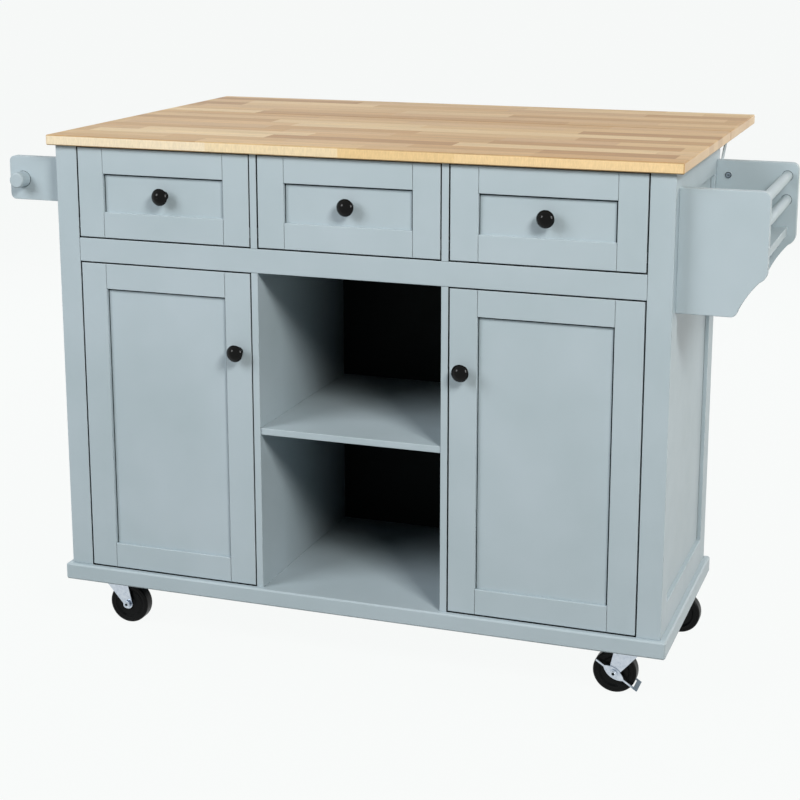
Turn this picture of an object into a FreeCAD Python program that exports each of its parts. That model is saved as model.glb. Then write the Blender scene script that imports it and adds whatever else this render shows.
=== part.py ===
import FreeCAD, Part
import math
import os
import Sketcher

# A kitchen cart on four casters. Millimetres, +Z up, the front faces -Y. The origin is on the
# floor under the middle of the whole outline, with the drop leaf up and everything shut.

SIZES = {
    # worktop and drop leaf
    "worktop_high": 920,
    "top_thick": 18,
    "top_front_over": 10,
    "top_back_over": 29,
    "top_side_over": 13,
    "top_edge": 1.6,
    "leaf_depth": 294,
    "leaf_gap": 1,
    # carcass
    "body_wide": 1098,
    "body_depth": 414,
    "base_high": 96,
    "base_thick": 30,
    "base_over": 10,
    "base_edge": 2.5,
    "post_wide": 41,
    "post_deep": 45,
    "side_rail_high": 50,
    "side_rail_thick": 20,
    "side_recess": 7,
    "side_panel_thick": 9,
    "divider_thick": 12,
    "drawer_space_high": 163,
    "mid_rail_high": 42,
    "mid_rail_thick": 20,
    "stretcher_thick": 12,
    "stretcher_deep": 60,
    "back_thick": 6,
    "back_recess": 5,
    "shelf_thick": 12,
    "centre_shelf_rise": 295,
    "centre_shelf_inset": 2,
    "loose_shelf_rise": 280,
    "loose_shelf_inset": 26,
    "loose_shelf_play": 1,
    "edge_break": 0.6,
    # fronts
    "front_gap": 2.5,
    "front_thick": 18,
    "stile_wide": 48,
    "rail_wide": 45,
    "panel_recess": 6.5,
    "panel_thick": 6,
    "door_knob_rise": 430,
    "knob_radius": 15,
    "knob_reach": 27,
    "knob_foot_radius": 8.5,
    "knob_foot_high": 1.8,
    "knob_neck_radius": 5.5,
    "knob_neck_long": 10,
    "knob_rim_radius": 4,
    "knob_rim_high": 18,
    # drawer boxes and runners
    "drawer_side_thick": 12,
    "drawer_side_high": 110,
    "drawer_side_rise": 16,
    "drawer_long": 340,
    "drawer_bottom_thick": 5,
    "drawer_bottom_rise": 8,
    "runner_space": 12.4,
    "runner_flange": 9,
    "runner_sheet": 1.2,
    "runner_bar_high": 16,
    "runner_rise": 18,
    "runner_inset": 26,
    "runner_long": 350,
    "runner_bar_long": 325,
    # door hinges, catches and shelf pins
    "hinge_rise": 90,
    "cup_radius": 17.5,
    "cup_deep": 11.5,
    "cup_wall": 1.2,
    "cup_inset": 24,
    "cup_flange_thick": 2.2,
    "cup_flange_start": 8.5,
    "cup_flange_end": 42,
    "cup_flange_half": 26,
    "arm_plate_thick": 2,
    "arm_plate_half": 22,
    "arm_plate_end": 44,
    "arm_reach": 27,
    "arm_thick": 9,
    "arm_half": 8,
    "catch_wide": 14,
    "catch_deep": 14,
    "catch_high": 46,
    "catch_drop": 60,
    "pin_radius": 2.5,
    "pin_long": 9,
    "pin_inset": 36,
    # leaf hinges
    "leaf_hinge_long": 66,
    "leaf_hinge_wide": 28,
    "leaf_hinge_sheet": 1.5,
    "leaf_hinge_drop": 3.5,
    "leaf_hinge_inset": 120,
    "knuckle_radius": 3.2,
    "knuckle_pin_radius": 1.6,
    # leaf braces
    "brace_arm": 150,
    "brace_eye_drop": 8,
    "brace_stand_off": 10,
    "brace_half": 8,
    "brace_sheet": 2,
    "brace_rivet_radius": 5,
    "brace_rivet_high": 1,
    "brace_pin_radius": 3,
    "brace_plate_long": 60,
    "brace_plate_wide": 22,
    "brace_link_gap": 0.5,
    # spice rack
    "rack_wide": 142,
    "rack_high": 202,
    "rack_bottom": 674,
    "rack_plate_thick": 15,
    "rack_front_inset": 27,
    "rack_back_inset": 17.5,
    "rack_corner": 12,
    "rack_shoulder_rise": 75,
    "rack_shoulder_radius": 20,
    "rack_hollow_reach": 130,
    "rack_hollow_top": 58,
    "rack_hollow_foot_reach": 98,
    "rack_hollow_foot_rise": 10,
    "rack_hollow_radius": 190,
    "rack_foot_reach": 88,
    "rack_foot_radius": 11,
    "rack_shelf_rise": 75,
    "rack_shelf_thick": 15,
    "rack_shelf_wide": 127,
    "rack_dowel_radius": 9,
    "rack_dowel_reach": 123,
    "rack_dowel_low": 137,
    "rack_dowel_high": 179,
    "cam_radius": 6.5,
    "cam_thick": 1,
    "cam_slot_wide": 1.6,
    "cam_slot_long": 9,
    "cam_slot_deep": 0.6,
    "cam_reach": 21,
    "cam_low": 26,
    "cam_high": 176,
    # towel bar
    "towel_reach": 110,
    "towel_plate_high": 78,
    "towel_plate_bottom": 797,
    "towel_plate_thick": 15,
    "towel_plate_inset": 26,
    "towel_corner": 10,
    "towel_rod_radius": 14,
    "towel_rod_reach": 83,
    "towel_rod_rise": 37,
    "towel_rod_proud": 26,
    "towel_rod_edge": 2.5,
    # casters
    "caster_inset_x": 68,
    "caster_inset_y": 70,
    "caster_plate_half": 30,
    "caster_plate_thick": 2.5,
    "caster_screw_radius": 3,
    "caster_screw_inset": 8,
    "race_radius": 20,
    "race_high": 6,
    "kingpin_radius": 5,
    "kingpin_head_radius": 8,
    "kingpin_head_high": 2.5,
    "fork_top_thick": 3,
    "fork_lead_long": 22,
    "fork_trail_long": 27,
    "fork_sheet": 2.5,
    "fork_gap": 1.5,
    "fork_boss_radius": 9.5,
    "trail": 28,
    "wheel_radius": 38,
    "wheel_half": 12,
    "wheel_shoulder": 4,
    "wheel_web_radius": 24,
    "wheel_web_deep": 2.5,
    "axle_radius": 4,
    "axle_head_radius": 6.5,
    "axle_head_high": 3,
    "axle_nut_gap": 0.4,
    # brake pedals
    "pedal_sheet": 2,
    "pedal_inner": 41,
    "pedal_outer": 49,
    "pedal_tip_outer": 37,
    "pedal_half_thick": 1.5,
    "pedal_boss_half": 9,
    "pedal_boss_long": 40,
    "pedal_angle": 33,
    # clearances
    "rest_gap": 0.3,
    "run_fit": 0.05,
}

WINGS = (("left", -1), ("right", 1))
BAYS = ("left", "centre", "right")
CASTERS = (("front_left", -1, -1, 0), ("front_right", 1, -1, 180),
           ("rear_left", -1, 1, 0), ("rear_right", 1, 1, 0))
BRAKED = ("front_right", "rear_left")
FULL_TURN = 360
LEFT_TURN = 1
RIGHT_TURN = -1

doc = FreeCAD.newDocument("KitchenCart")
parts = []


class Size:
    """A size that holds both its value and the sheet expression that gives it."""

    def __init__(self, value, text):
        self.value = value
        self.text = text

    def __add__(self, other):
        other = as_size(other)
        return Size(self.value + other.value, "(%s + %s)" % (self.text, other.text))

    def __radd__(self, other):
        return as_size(other) + self

    def __sub__(self, other):
        other = as_size(other)
        return Size(self.value - other.value, "(%s - %s)" % (self.text, other.text))

    def __rsub__(self, other):
        return as_size(other) - self

    def __mul__(self, other):
        other = as_size(other)
        return Size(self.value * other.value, "(%s * %s)" % (self.text, other.text))

    def __rmul__(self, other):
        return as_size(other) * self

    def __truediv__(self, other):
        other = as_size(other)
        return Size(self.value / other.value, "(%s / %s)" % (self.text, other.text))

    def __neg__(self):
        return Size(-self.value, "(-1 * %s)" % self.text)


def as_size(thing):
    """A zero, a count or a sign as a Size, so that it can join an expression."""
    if isinstance(thing, Size):
        return thing
    return Size(float(thing), repr(thing))


def root(size):
    """The square root of a Size."""
    return Size(math.sqrt(size.value), "sqrt(%s)" % size.text)


def cosine(size):
    """The cosine of an angle in degrees."""
    return Size(math.cos(math.radians(size.value)), "cos(%s * 1deg)" % size.text)


def sine(size):
    """The sine of an angle in degrees."""
    return Size(math.sin(math.radians(size.value)), "sin(%s * 1deg)" % size.text)


class Sheet:
    """A spreadsheet whose named cells can be read as attributes."""

    def __init__(self, name):
        self.cells = doc.addObject("Spreadsheet::Sheet", name)
        self.rows = 0

    def write(self, name, text, value):
        self.rows += 1
        self.cells.set("A%d" % self.rows, name)
        self.cells.set("B%d" % self.rows, text)
        self.cells.setAlias("B%d" % self.rows, name)
        setattr(self, name, Size(value, "%s.%s" % (self.cells.Name, name)))


def make_sizes():
    """The driving dimensions, as plain numbers."""
    sheet = Sheet("Sizes")
    for name, number in SIZES.items():
        sheet.write(name, str(number), float(number))
    return sheet


s = make_sizes()
at = Sheet("Places")


def place(name, size):
    """Work out a named place on the second sheet from the driving dimensions."""
    at.write(name, "=" + size.text, size.value)


def work_out_places():
    """The heights, depths and widths that more than one piece shares."""
    place("leaf_reach", s.body_depth + s.top_back_over + s.leaf_gap + s.leaf_depth)
    place("middle", (s.towel_reach - s.rack_wide) / 2)
    place("front", (s.knob_reach - at.leaf_reach) / 2)
    place("back", at.front + s.body_depth)
    place("body_left", at.middle - s.body_wide / 2)
    place("body_right", at.middle + s.body_wide / 2)
    place("base_top", s.base_high + s.base_thick)
    place("top_under", s.worktop_high - s.top_thick)
    place("drawer_floor", at.top_under - s.drawer_space_high)
    place("rail_under", at.drawer_floor - s.mid_rail_high)
    place("inner_left", at.body_left + s.post_wide)
    place("inner_right", at.body_right - s.post_wide)
    place("bay_wide", (at.inner_right - at.inner_left - s.divider_thick * 2) / 3)
    place("inner_back", at.back - s.back_recess - s.back_thick)
    place("fronts_back", at.front + s.front_thick)
    place("seam", at.back + s.top_back_over)
    place("leaf_front", at.seam + s.leaf_gap)
    place("hinge_y", at.seam + s.leaf_gap / 2)
    place("hinge_z", at.top_under - s.leaf_hinge_drop)
    place("door_low", at.base_top + s.front_gap)
    place("door_high", at.rail_under - s.front_gap)
    place("runner_high", s.runner_bar_high + (s.rest_gap + s.runner_sheet) * 2)
    place("fork_top", s.base_high - s.caster_plate_thick - s.race_high - s.rest_gap)
    place("fork_out", s.wheel_half + s.fork_gap + s.fork_sheet)


work_out_places()


def bay_left(index):
    """The left wall of a bay, counted from the left."""
    return at.inner_left + (at.bay_wide + s.divider_thick) * index


def bind(thing, path, size):
    """Tie a property to the sheets."""
    thing.setExpression(path, as_size(size).text)


def put(thing, x, y, z, turn=0):
    """Tie an object's place to the sheets, turned about its own upright."""
    thing.Placement = FreeCAD.Placement(FreeCAD.Vector(), FreeCAD.Rotation(turn, 0, 0))
    for axis, size in zip("xyz", (x, y, z)):
        bind(thing, ".Placement.Base." + axis, size)


def new_body(label):
    """An empty body with its own name."""
    body = doc.addObject("PartDesign::Body", "Body")
    body.Label = label
    return body


def rectangle(u_low, u_high, v_low, v_high):
    """The corners of a rectangle."""
    return [(u_low, v_low), (u_high, v_low), (u_high, v_high), (u_low, v_high)]


def arc(end, centre, turn):
    """A round step of an outline to its end point, about a centre."""
    return (*end, *centre, turn)


def flat_vector(point):
    """The first two sizes of a point, as numbers."""
    return FreeCAD.Vector(as_size(point[0]).value, as_size(point[1]).value, 0)


def fix_point(sketch, item, spot, point, ways=("DistanceX", "DistanceY")):
    """Tie a point of a sketch to its place, measured from the sketch's own origin."""
    values = dict(zip(("DistanceX", "DistanceY"), (as_size(point[0]), as_size(point[1]))))
    for way in ways:
        number = sketch.addConstraint(
            Sketcher.Constraint(way, -1, 1, item, spot, values[way].value))
        bind(sketch, "Constraints[%d]" % number, values[way])


def round_edge(begin, step):
    """The arc of a round step, and which of its ends comes first."""
    centre = flat_vector(step[2:4])
    finish = flat_vector(step)
    first, last = (begin, finish) if step[4] == LEFT_TURN else (finish, begin)
    angles = [math.atan2(point.y - centre.y, point.x - centre.x) for point in (first, last)]
    if angles[1] <= angles[0]:
        angles[1] += math.tau
    circle = Part.Circle(centre, FreeCAD.Vector(0, 0, 1), (begin - centre).Length)
    return Part.ArcOfCircle(circle, *angles), (1, 2) if step[4] == LEFT_TURN else (2, 1)


def outline(body, plane, steps, offset=0, holes=()):
    """A closed outline on one of the body's own planes, with round holes (u, v, radius)."""
    sketch = body.newObject("Sketcher::SketchObject", "Outline")
    support = [item for item in body.Origin.OriginFeatures if item.Role == plane]
    sketch.AttachmentSupport = [(support[0], "")]
    sketch.MapMode = "FlatFace"
    way = RIGHT_TURN if plane == "XZ_Plane" else LEFT_TURN
    bind(sketch, ".AttachmentOffset.Base.z", as_size(offset) * way)
    spots = []
    for index, step in enumerate(steps):
        begin = flat_vector(steps[index - 1])
        if len(step) == 2:
            edge, ends = Part.LineSegment(begin, flat_vector(step)), (1, 2)
        else:
            edge, ends = round_edge(begin, step)
        sketch.addGeometry(edge, False)
        spots.append(ends)
    for index, step in enumerate(steps):
        after = (index + 1) % len(steps)
        sketch.addConstraint(Sketcher.Constraint(
            "Coincident", index, spots[index][1], after, spots[after][0]))
        fix_point(sketch, index, spots[index][1], step)
        if len(step) > 2:
            chord = flat_vector(step) - flat_vector(steps[index - 1])
            free = "DistanceX" if abs(chord.y) >= abs(chord.x) else "DistanceY"
            fix_point(sketch, index, 3, step[2:4], (free,))
    for u, v, radius in holes:
        circle = Part.Circle(flat_vector((u, v)), FreeCAD.Vector(0, 0, 1), as_size(radius).value)
        item = sketch.addGeometry(circle, False)
        fix_point(sketch, item, 3, (u, v))
        number = sketch.addConstraint(
            Sketcher.Constraint("Radius", item, as_size(radius).value))
        bind(sketch, "Constraints[%d]" % number, radius)
    return sketch


def pad(body, plane, steps, length, offset=0, holes=()):
    """Solid from an outline, standing from its offset towards plus along the plane's axis."""
    feature = body.newObject("PartDesign::Pad", "Pad")
    feature.Profile = outline(body, plane, steps, offset, holes)
    feature.Reversed = plane == "XZ_Plane"
    bind(feature, "Length", length)
    return feature


def pocket(body, plane, steps, length, offset=0, holes=()):
    """Cut an outline out of a body, from its offset towards plus along the plane's axis."""
    feature = body.newObject("PartDesign::Pocket", "Pocket")
    feature.Profile = outline(body, plane, steps, offset, holes)
    feature.Reversed = plane != "XZ_Plane"
    bind(feature, "Length", length)
    return feature


def turned(body, plane, steps, axis):
    """Solid turned from an outline about an axis of its own sketch."""
    feature = body.newObject("PartDesign::Revolution", "Turning")
    sketch = outline(body, plane, steps)
    feature.Profile = sketch
    feature.ReferenceAxis = (sketch, [axis])
    feature.Angle = FULL_TURN
    return feature


def break_edges(body, size):
    """Take the sharpness off every edge, as sanding and paint do."""
    doc.recompute()
    base = body.Tip
    feature = body.newObject("PartDesign::Chamfer", "Eased")
    feature.Base = (base, ["Edge1"])
    feature.UseAllEdges = True
    bind(feature, "Size", size)


def board(label, x, y, z, ease=None):
    """A board between pairs of places, with eased edges."""
    body = new_body(label)
    pad(body, "XY_Plane", rectangle(0, x[1] - x[0], 0, y[1] - y[0]), z[1] - z[0])
    break_edges(body, ease or s.edge_break)
    put(body, x[0], y[0], z[0])
    return body


def block(label, x, y, z):
    """A plain hidden board or bar between pairs of places."""
    box = doc.addObject("Part::Box", "Block")
    box.Label = label
    bind(box, "Length", x[1] - x[0])
    bind(box, "Width", y[1] - y[0])
    bind(box, "Height", z[1] - z[0])
    put(box, x[0], y[0], z[0])
    return box


def span(low, size):
    """A pair of places from a low one and a size."""
    return (low, low + size)


def keep(thing):
    """Mark a finished sub-part, whose label names its file."""
    parts.append(thing)


def group(label, things):
    """One sub-part of several like solids."""
    bundle = doc.addObject("Part::Compound", "Set")
    bundle.Label = label
    bundle.Links = things
    keep(bundle)


def make_worktop():
    """The fixed top board, and the drop leaf behind its seam."""
    x = (at.body_left - s.top_side_over, at.body_right + s.top_side_over)
    z = (at.top_under, s.worktop_high)
    keep(board("top_board", x, (at.front - s.top_front_over, at.seam), z, s.top_edge))
    keep(board("leaf_board", x, span(at.leaf_front, s.leaf_depth), z, s.top_edge))


def make_base():
    """The base board, which stands proud of the carcass all round and carries the casters."""
    x = (at.body_left - s.base_over, at.body_right + s.base_over)
    y = (at.front - s.base_over, at.back + s.base_over)
    keep(board("base_board", x, y, (s.base_high, at.base_top), s.base_edge))


def make_side_frames():
    """Corner posts, the rails between them, and the recessed side panels."""
    z = (at.base_top, at.top_under)
    posts = []
    rails = []
    panels = []
    y = (at.front + s.post_deep, at.back - s.post_deep)
    for wing, sign in WINGS:
        outer = at.body_left if sign < 0 else at.body_right
        x = ordered(outer, -sign * s.post_wide)
        posts.append(board(wing + "_front_post", x, span(at.front, s.post_deep), z))
        posts.append(board(wing + "_back_post", x, span(at.back - s.post_deep, s.post_deep), z))
        x = ordered(outer, -sign * s.side_rail_thick)
        low = span(at.base_top, s.side_rail_high)
        high = span(at.top_under - s.side_rail_high, s.side_rail_high)
        rails.append(board(wing + "_low_rail", x, y, low))
        rails.append(board(wing + "_top_rail", x, y, high))
        x = ordered(outer - sign * s.side_recess, -sign * s.side_panel_thick)
        panels.append(block(wing + "_panel", x, y, (low[1], high[0])))
    group("corner_posts", posts)
    group("side_rails", rails)
    group("side_panels", panels)


def ordered(start, size):
    """A pair of places from a start and a size of either sign."""
    size = as_size(size)
    return (start, start + size) if size.value > 0 else (start + size, start)


def make_dividers():
    """Two upright dividers, notched for the mid rail and for the top stretchers."""
    deep = at.inner_back - at.front
    high = at.top_under - at.base_top
    step = high - s.stretcher_thick
    near = s.mid_rail_thick + s.rest_gap
    far = near + s.stretcher_deep
    low_notch = at.rail_under - at.base_top
    high_notch = at.drawer_floor - at.base_top
    profile = [(0, 0), (deep, 0), (deep, step), (deep - s.stretcher_deep, step),
               (deep - s.stretcher_deep, high), (far, high), (far, step), (near, step),
               (near, high), (0, high), (0, high_notch), (s.mid_rail_thick, high_notch),
               (s.mid_rail_thick, low_notch), (0, low_notch)]
    walls = []
    for index, wing in enumerate(("left", "right")):
        body = new_body(wing + "_divider")
        pad(body, "YZ_Plane", profile, s.divider_thick)
        put(body, bay_left(index) + at.bay_wide, at.front, at.base_top)
        walls.append(body)
    group("dividers", walls)


def make_rails_and_back():
    """The mid rail under the drawers, the stretchers under the top, and the back panel."""
    x = (at.inner_left, at.inner_right)
    y = span(at.front, s.mid_rail_thick)
    keep(board("mid_rail", x, y, (at.rail_under, at.drawer_floor)))
    z = span(at.top_under - s.stretcher_thick, s.stretcher_thick)
    front = span(at.front + s.mid_rail_thick + s.rest_gap, s.stretcher_deep)
    back = span(at.inner_back - s.stretcher_deep, s.stretcher_deep)
    group("top_stretchers", [block("front_stretcher", x, front, z),
                             block("back_stretcher", x, back, z)])
    keep(block("back_panel", x, span(at.inner_back, s.back_thick), (at.base_top, at.top_under)))


def make_shelves():
    """The fixed shelf of the open bay, and a loose shelf on pins in each cupboard."""
    rise = at.base_top + s.centre_shelf_rise
    x = span(bay_left(1), at.bay_wide)
    y = (at.front + s.centre_shelf_inset, at.inner_back)
    keep(board("centre_shelf", x, y, (rise - s.shelf_thick, rise)))
    rise = at.base_top + s.loose_shelf_rise
    y = (at.front + s.loose_shelf_inset, at.inner_back - s.loose_shelf_play)
    shelves = []
    pins = []
    for index in (0, 2):
        wall = bay_left(index)
        x = (wall + s.loose_shelf_play, wall + at.bay_wide - s.loose_shelf_play)
        shelves.append(board(BAYS[index] + "_shelf", x, y, (rise - s.shelf_thick, rise)))
        for start in (wall, wall + at.bay_wide - s.pin_long):
            for depth in (at.front + s.pin_inset, at.back - s.pin_inset):
                pins.append(make_shelf_pin(start, depth, rise - s.shelf_thick))
    group("cupboard_shelves", shelves)
    group("shelf_pins", pins)


def make_shelf_pin(start, depth, shelf_under):
    """One steel pin, which a shelf rests on."""
    pin = new_body("shelf_pin")
    pad(pin, "YZ_Plane", (), s.pin_long, 0, [(0, 0, s.pin_radius)])
    put(pin, start, depth, shelf_under - s.pin_radius)
    return pin


def make_frame_and_panel(name, x, z, bores=(), bore_sign=0):
    """Stiles, rails and a recessed panel, and the hinge bores in the hinge stile."""
    y = span(at.front, s.front_thick)
    frame = []
    for wing, sign in WINGS:
        edge = x[0] if sign < 0 else x[1]
        stile = new_body("%s_%s_stile" % (name, wing))
        low = 0 if sign < 0 else -s.stile_wide
        high = s.stile_wide if sign < 0 else 0
        pad(stile, "XZ_Plane", rectangle(low, high, 0, z[1] - z[0]), s.front_thick)
        break_edges(stile, s.edge_break)
        if bores and sign == bore_sign:
            holes = [(-sign * s.cup_inset, height - z[0], s.cup_radius) for height in bores]
            cut = pocket(stile, "XZ_Plane", (), s.cup_deep, s.front_thick - s.cup_deep, holes)
            stile.Tip = cut
        put(stile, edge, at.front, z[0])
        frame.append(stile)
    inner = (x[0] + s.stile_wide, x[1] - s.stile_wide)
    frame.append(board(name + "_low_rail", inner, y, span(z[0], s.rail_wide)))
    frame.append(board(name + "_top_rail", inner, y, span(z[1] - s.rail_wide, s.rail_wide)))
    panel = block(name + "_inset", inner, span(at.front + s.panel_recess, s.panel_thick),
                  (z[0] + s.rail_wide, z[1] - s.rail_wide))
    return frame, panel


def make_knob(name, x, y, z):
    """A turned metal knob on its foot, with a domed face."""
    rim = s.knob_rim_high
    radius = s.knob_radius
    under = s.knob_foot_high + s.knob_neck_long
    dome = s.knob_reach - rim
    centre = s.knob_reach - (radius * radius + dome * dome) / (dome * 2)
    body = new_body(name)
    turned(body, "XY_Plane", [
        (0, 0), (0, -s.knob_reach),
        arc((radius, -rim), (0, -centre), LEFT_TURN),
        arc((radius - s.knob_rim_radius, s.knob_rim_radius - rim),
            (radius - s.knob_rim_radius, -rim), LEFT_TURN),
        (s.knob_neck_radius, -under), (s.knob_neck_radius, -s.knob_foot_high * 2),
        (s.knob_foot_radius, -s.knob_foot_high), (s.knob_foot_radius, 0)], "V_Axis")
    put(body, x, y, z)
    keep(body)


def make_drawers():
    """Three drawers: a framed front with a knob, a box, and a steel bar on each side."""
    rise = at.drawer_floor + s.drawer_side_rise
    for index, bay in enumerate(BAYS):
        wall = bay_left(index)
        far_wall = wall + at.bay_wide
        x = (wall + s.front_gap, far_wall - s.front_gap)
        z = (at.drawer_floor + s.front_gap, at.top_under - s.front_gap)
        frame, panel = make_frame_and_panel("drawer_" + bay, x, z)
        group("drawer_front_" + bay, frame + [panel])
        make_knob("drawer_knob_" + bay, (x[0] + x[1]) / 2, at.front + s.panel_recess,
                  (z[0] + z[1]) / 2)
        make_drawer_box(bay, (wall + s.runner_space, far_wall - s.runner_space), rise)
        make_drawer_bars(bay, wall, far_wall)


def make_drawer_box(bay, x, rise):
    """Two sides, a front, a back and a thin bottom."""
    y = span(at.fronts_back, s.drawer_long)
    z = span(rise, s.drawer_side_high)
    inner = (x[0] + s.drawer_side_thick, x[1] - s.drawer_side_thick)
    near = span(y[0], s.drawer_side_thick)
    far = span(y[1] - s.drawer_side_thick, s.drawer_side_thick)
    floor = span(rise + s.drawer_bottom_rise, s.drawer_bottom_thick)
    group("drawer_box_" + bay, [
        block(bay + "_side_a", span(x[0], s.drawer_side_thick), y, z),
        block(bay + "_side_b", (inner[1], x[1]), y, z),
        block(bay + "_box_front", inner, near, z),
        block(bay + "_box_back", inner, far, z),
        block(bay + "_bottom", inner, (near[1], far[0]), floor)])


def make_drawer_bars(bay, wall, far_wall):
    """The moving bars of the runners, screwed along the drawer's sides."""
    start = s.runner_sheet + s.rest_gap
    low = at.drawer_floor + s.runner_rise + s.runner_sheet + s.rest_gap
    y = span(at.front + s.runner_inset, s.runner_bar_long)
    z = span(low, s.runner_bar_high)
    group("drawer_bars_" + bay, [
        block(bay + "_bar_a", (wall + start, wall + s.runner_space), y, z),
        block(bay + "_bar_b", (far_wall - s.runner_space, far_wall - start), y, z)])


def make_runners():
    """The fixed channels of the drawer runners, folded from sheet steel."""
    sheet = s.runner_sheet
    high = at.runner_high
    channels = []
    for index in range(len(BAYS)):
        for wall, sign in ((bay_left(index), 1), (bay_left(index) + at.bay_wide, -1)):
            flange = sign * s.runner_flange
            web = sign * sheet
            body = new_body("runner_channel")
            pad(body, "XZ_Plane", [
                (0, 0), (flange, 0), (flange, sheet), (web, sheet), (web, high - sheet),
                (flange, high - sheet), (flange, high), (0, high)], s.runner_long)
            put(body, wall, at.front + s.runner_inset, at.drawer_floor + s.runner_rise)
            channels.append(body)
    group("drawer_runners", channels)


def make_doors():
    """Two framed doors, hung from the corner posts on cup hinges, and their catches."""
    z = (at.door_low, at.door_high)
    heights = (z[0] + s.hinge_rise, z[1] - s.hinge_rise)
    arms = []
    catches = []
    for (wing, sign), index in zip(WINGS, (0, 2)):
        wall = bay_left(index)
        x = (wall + s.front_gap, wall + at.bay_wide - s.front_gap)
        frame, panel = make_frame_and_panel("door_" + wing, x, z, heights, sign)
        group("door_frame_" + wing, frame)
        panel.Label = "door_panel_" + wing
        keep(panel)
        hinge_edge = x[0] if sign < 0 else x[1]
        post_face = wall if sign < 0 else wall + at.bay_wide
        free_edge = x[1] if sign < 0 else x[0]
        make_knob("door_knob_" + wing, free_edge + sign * s.stile_wide / 2, at.front,
                  at.base_top + s.door_knob_rise)
        group("hinge_cups_" + wing,
              [make_hinge_cup(hinge_edge, -sign, height) for height in heights])
        arms += [make_hinge_arm(post_face, -sign, height) for height in heights]
        wall_face = wall + at.bay_wide if sign < 0 else wall
        y = span(at.fronts_back + s.rest_gap, s.catch_deep)
        low = z[1] - s.catch_drop
        catches.append(board(wing + "_catch", ordered(wall_face, sign * s.catch_wide), y,
                             span(low, s.catch_high)))
    group("door_hinge_arms", arms)
    group("door_catches", catches)


def make_hinge_cup(edge, way, height):
    """A pressed cup, sunk in the stile's back, with its flange behind the door."""
    radius = s.cup_radius - s.run_fit
    middle = way * s.cup_inset
    sides = sorted((way * s.cup_flange_start, way * s.cup_flange_end), key=lambda size: size.value)
    body = new_body("hinge_cup")
    pad(body, "XZ_Plane", rectangle(*sides, -s.cup_flange_half, s.cup_flange_half),
        s.cup_flange_thick)
    pad(body, "XZ_Plane", (), s.cup_deep - s.run_fit, s.run_fit - s.cup_deep,
        [(middle, 0, radius)])
    pocket(body, "XZ_Plane", (), s.cup_deep - s.cup_wall + s.cup_flange_thick,
           s.cup_wall - s.cup_deep, [(middle, 0, radius - s.cup_wall)])
    put(body, edge, at.fronts_back, height)
    return body


def make_hinge_arm(face, way, height):
    """A plate on the post and the arm that reaches over the hinge cup."""
    start = s.cup_flange_thick + s.rest_gap
    body = new_body("hinge_arm")
    plate = sorted((as_size(0), way * s.arm_plate_thick), key=lambda size: size.value)
    reach = sorted((as_size(0), way * s.arm_reach), key=lambda size: size.value)
    end = s.arm_plate_end - s.front_thick
    pad(body, "XY_Plane", rectangle(*plate, start, end), s.arm_plate_half * 2, -s.arm_plate_half)
    pad(body, "XY_Plane", rectangle(*reach, start, start + s.arm_thick), s.arm_half * 2,
        -s.arm_half)
    put(body, face, at.fronts_back, height)
    return body


def make_leaf_hinges():
    """Three hinges under the seam: knuckles on one pin, with a plate to each side."""
    spread = s.body_wide / 2 - s.leaf_hinge_inset
    fixed = []
    moving = []
    for place_x in (at.middle - spread, at.middle, at.middle + spread):
        fixed.append(make_fixed_hinge_leaf(place_x))
        moving.append(make_moving_hinge_leaf(place_x))
    group("leaf_hinge_fixed", fixed)
    group("leaf_hinge_moving", moving)


def hinge_plate(body, low, high, knuckles, way):
    """A hinge plate under the boards with its webs to the given knuckles."""
    clear = s.knuckle_radius + s.rest_gap
    top = s.leaf_hinge_drop
    under = top - s.leaf_hinge_sheet
    sides = sorted((way * clear, way * s.leaf_hinge_wide), key=lambda size: size.value)
    pad(body, "YZ_Plane", rectangle(*sides, under, top), high - low, low)
    for start, end in knuckles:
        web = sorted((as_size(0), way * clear), key=lambda size: size.value)
        pad(body, "YZ_Plane", rectangle(*web, under, top), end - start, start)


def knuckle_places():
    """The lengths of a hinge's three knuckles, with play between them."""
    half = s.leaf_hinge_long / 2
    inner = s.leaf_hinge_long / 6
    return (-half, -inner), (s.rest_gap - inner, inner - s.rest_gap), (inner, half)


def make_fixed_hinge_leaf(place_x):
    """The half on the fixed top: two outer knuckles, the pin and a plate."""
    first, _, last = knuckle_places()
    half = s.leaf_hinge_long / 2
    body = new_body("fixed_hinge_leaf")
    pad(body, "YZ_Plane", (), s.leaf_hinge_long, -half, [(0, 0, s.knuckle_pin_radius)])
    for start, end in (first, last):
        pad(body, "YZ_Plane", (), end - start, start, [(0, 0, s.knuckle_radius)])
    hinge_plate(body, -half, half, (first, last), RIGHT_TURN)
    put(body, place_x, at.hinge_y, at.hinge_z)
    return body


def make_moving_hinge_leaf(place_x):
    """The half on the leaf: the middle knuckle, bored for the pin, and a plate."""
    middle = knuckle_places()[1]
    half = s.leaf_hinge_long / 2
    long = middle[1] - middle[0]
    body = new_body("moving_hinge_leaf")
    pad(body, "YZ_Plane", (), long, middle[0], [(0, 0, s.knuckle_radius)])
    hinge_plate(body, -half, half, (middle,), LEFT_TURN)
    pocket(body, "YZ_Plane", (), s.leaf_hinge_long, -half,
           [(0, 0, s.knuckle_pin_radius + s.run_fit)])
    put(body, place_x, at.hinge_y, at.hinge_z)
    return body


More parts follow.
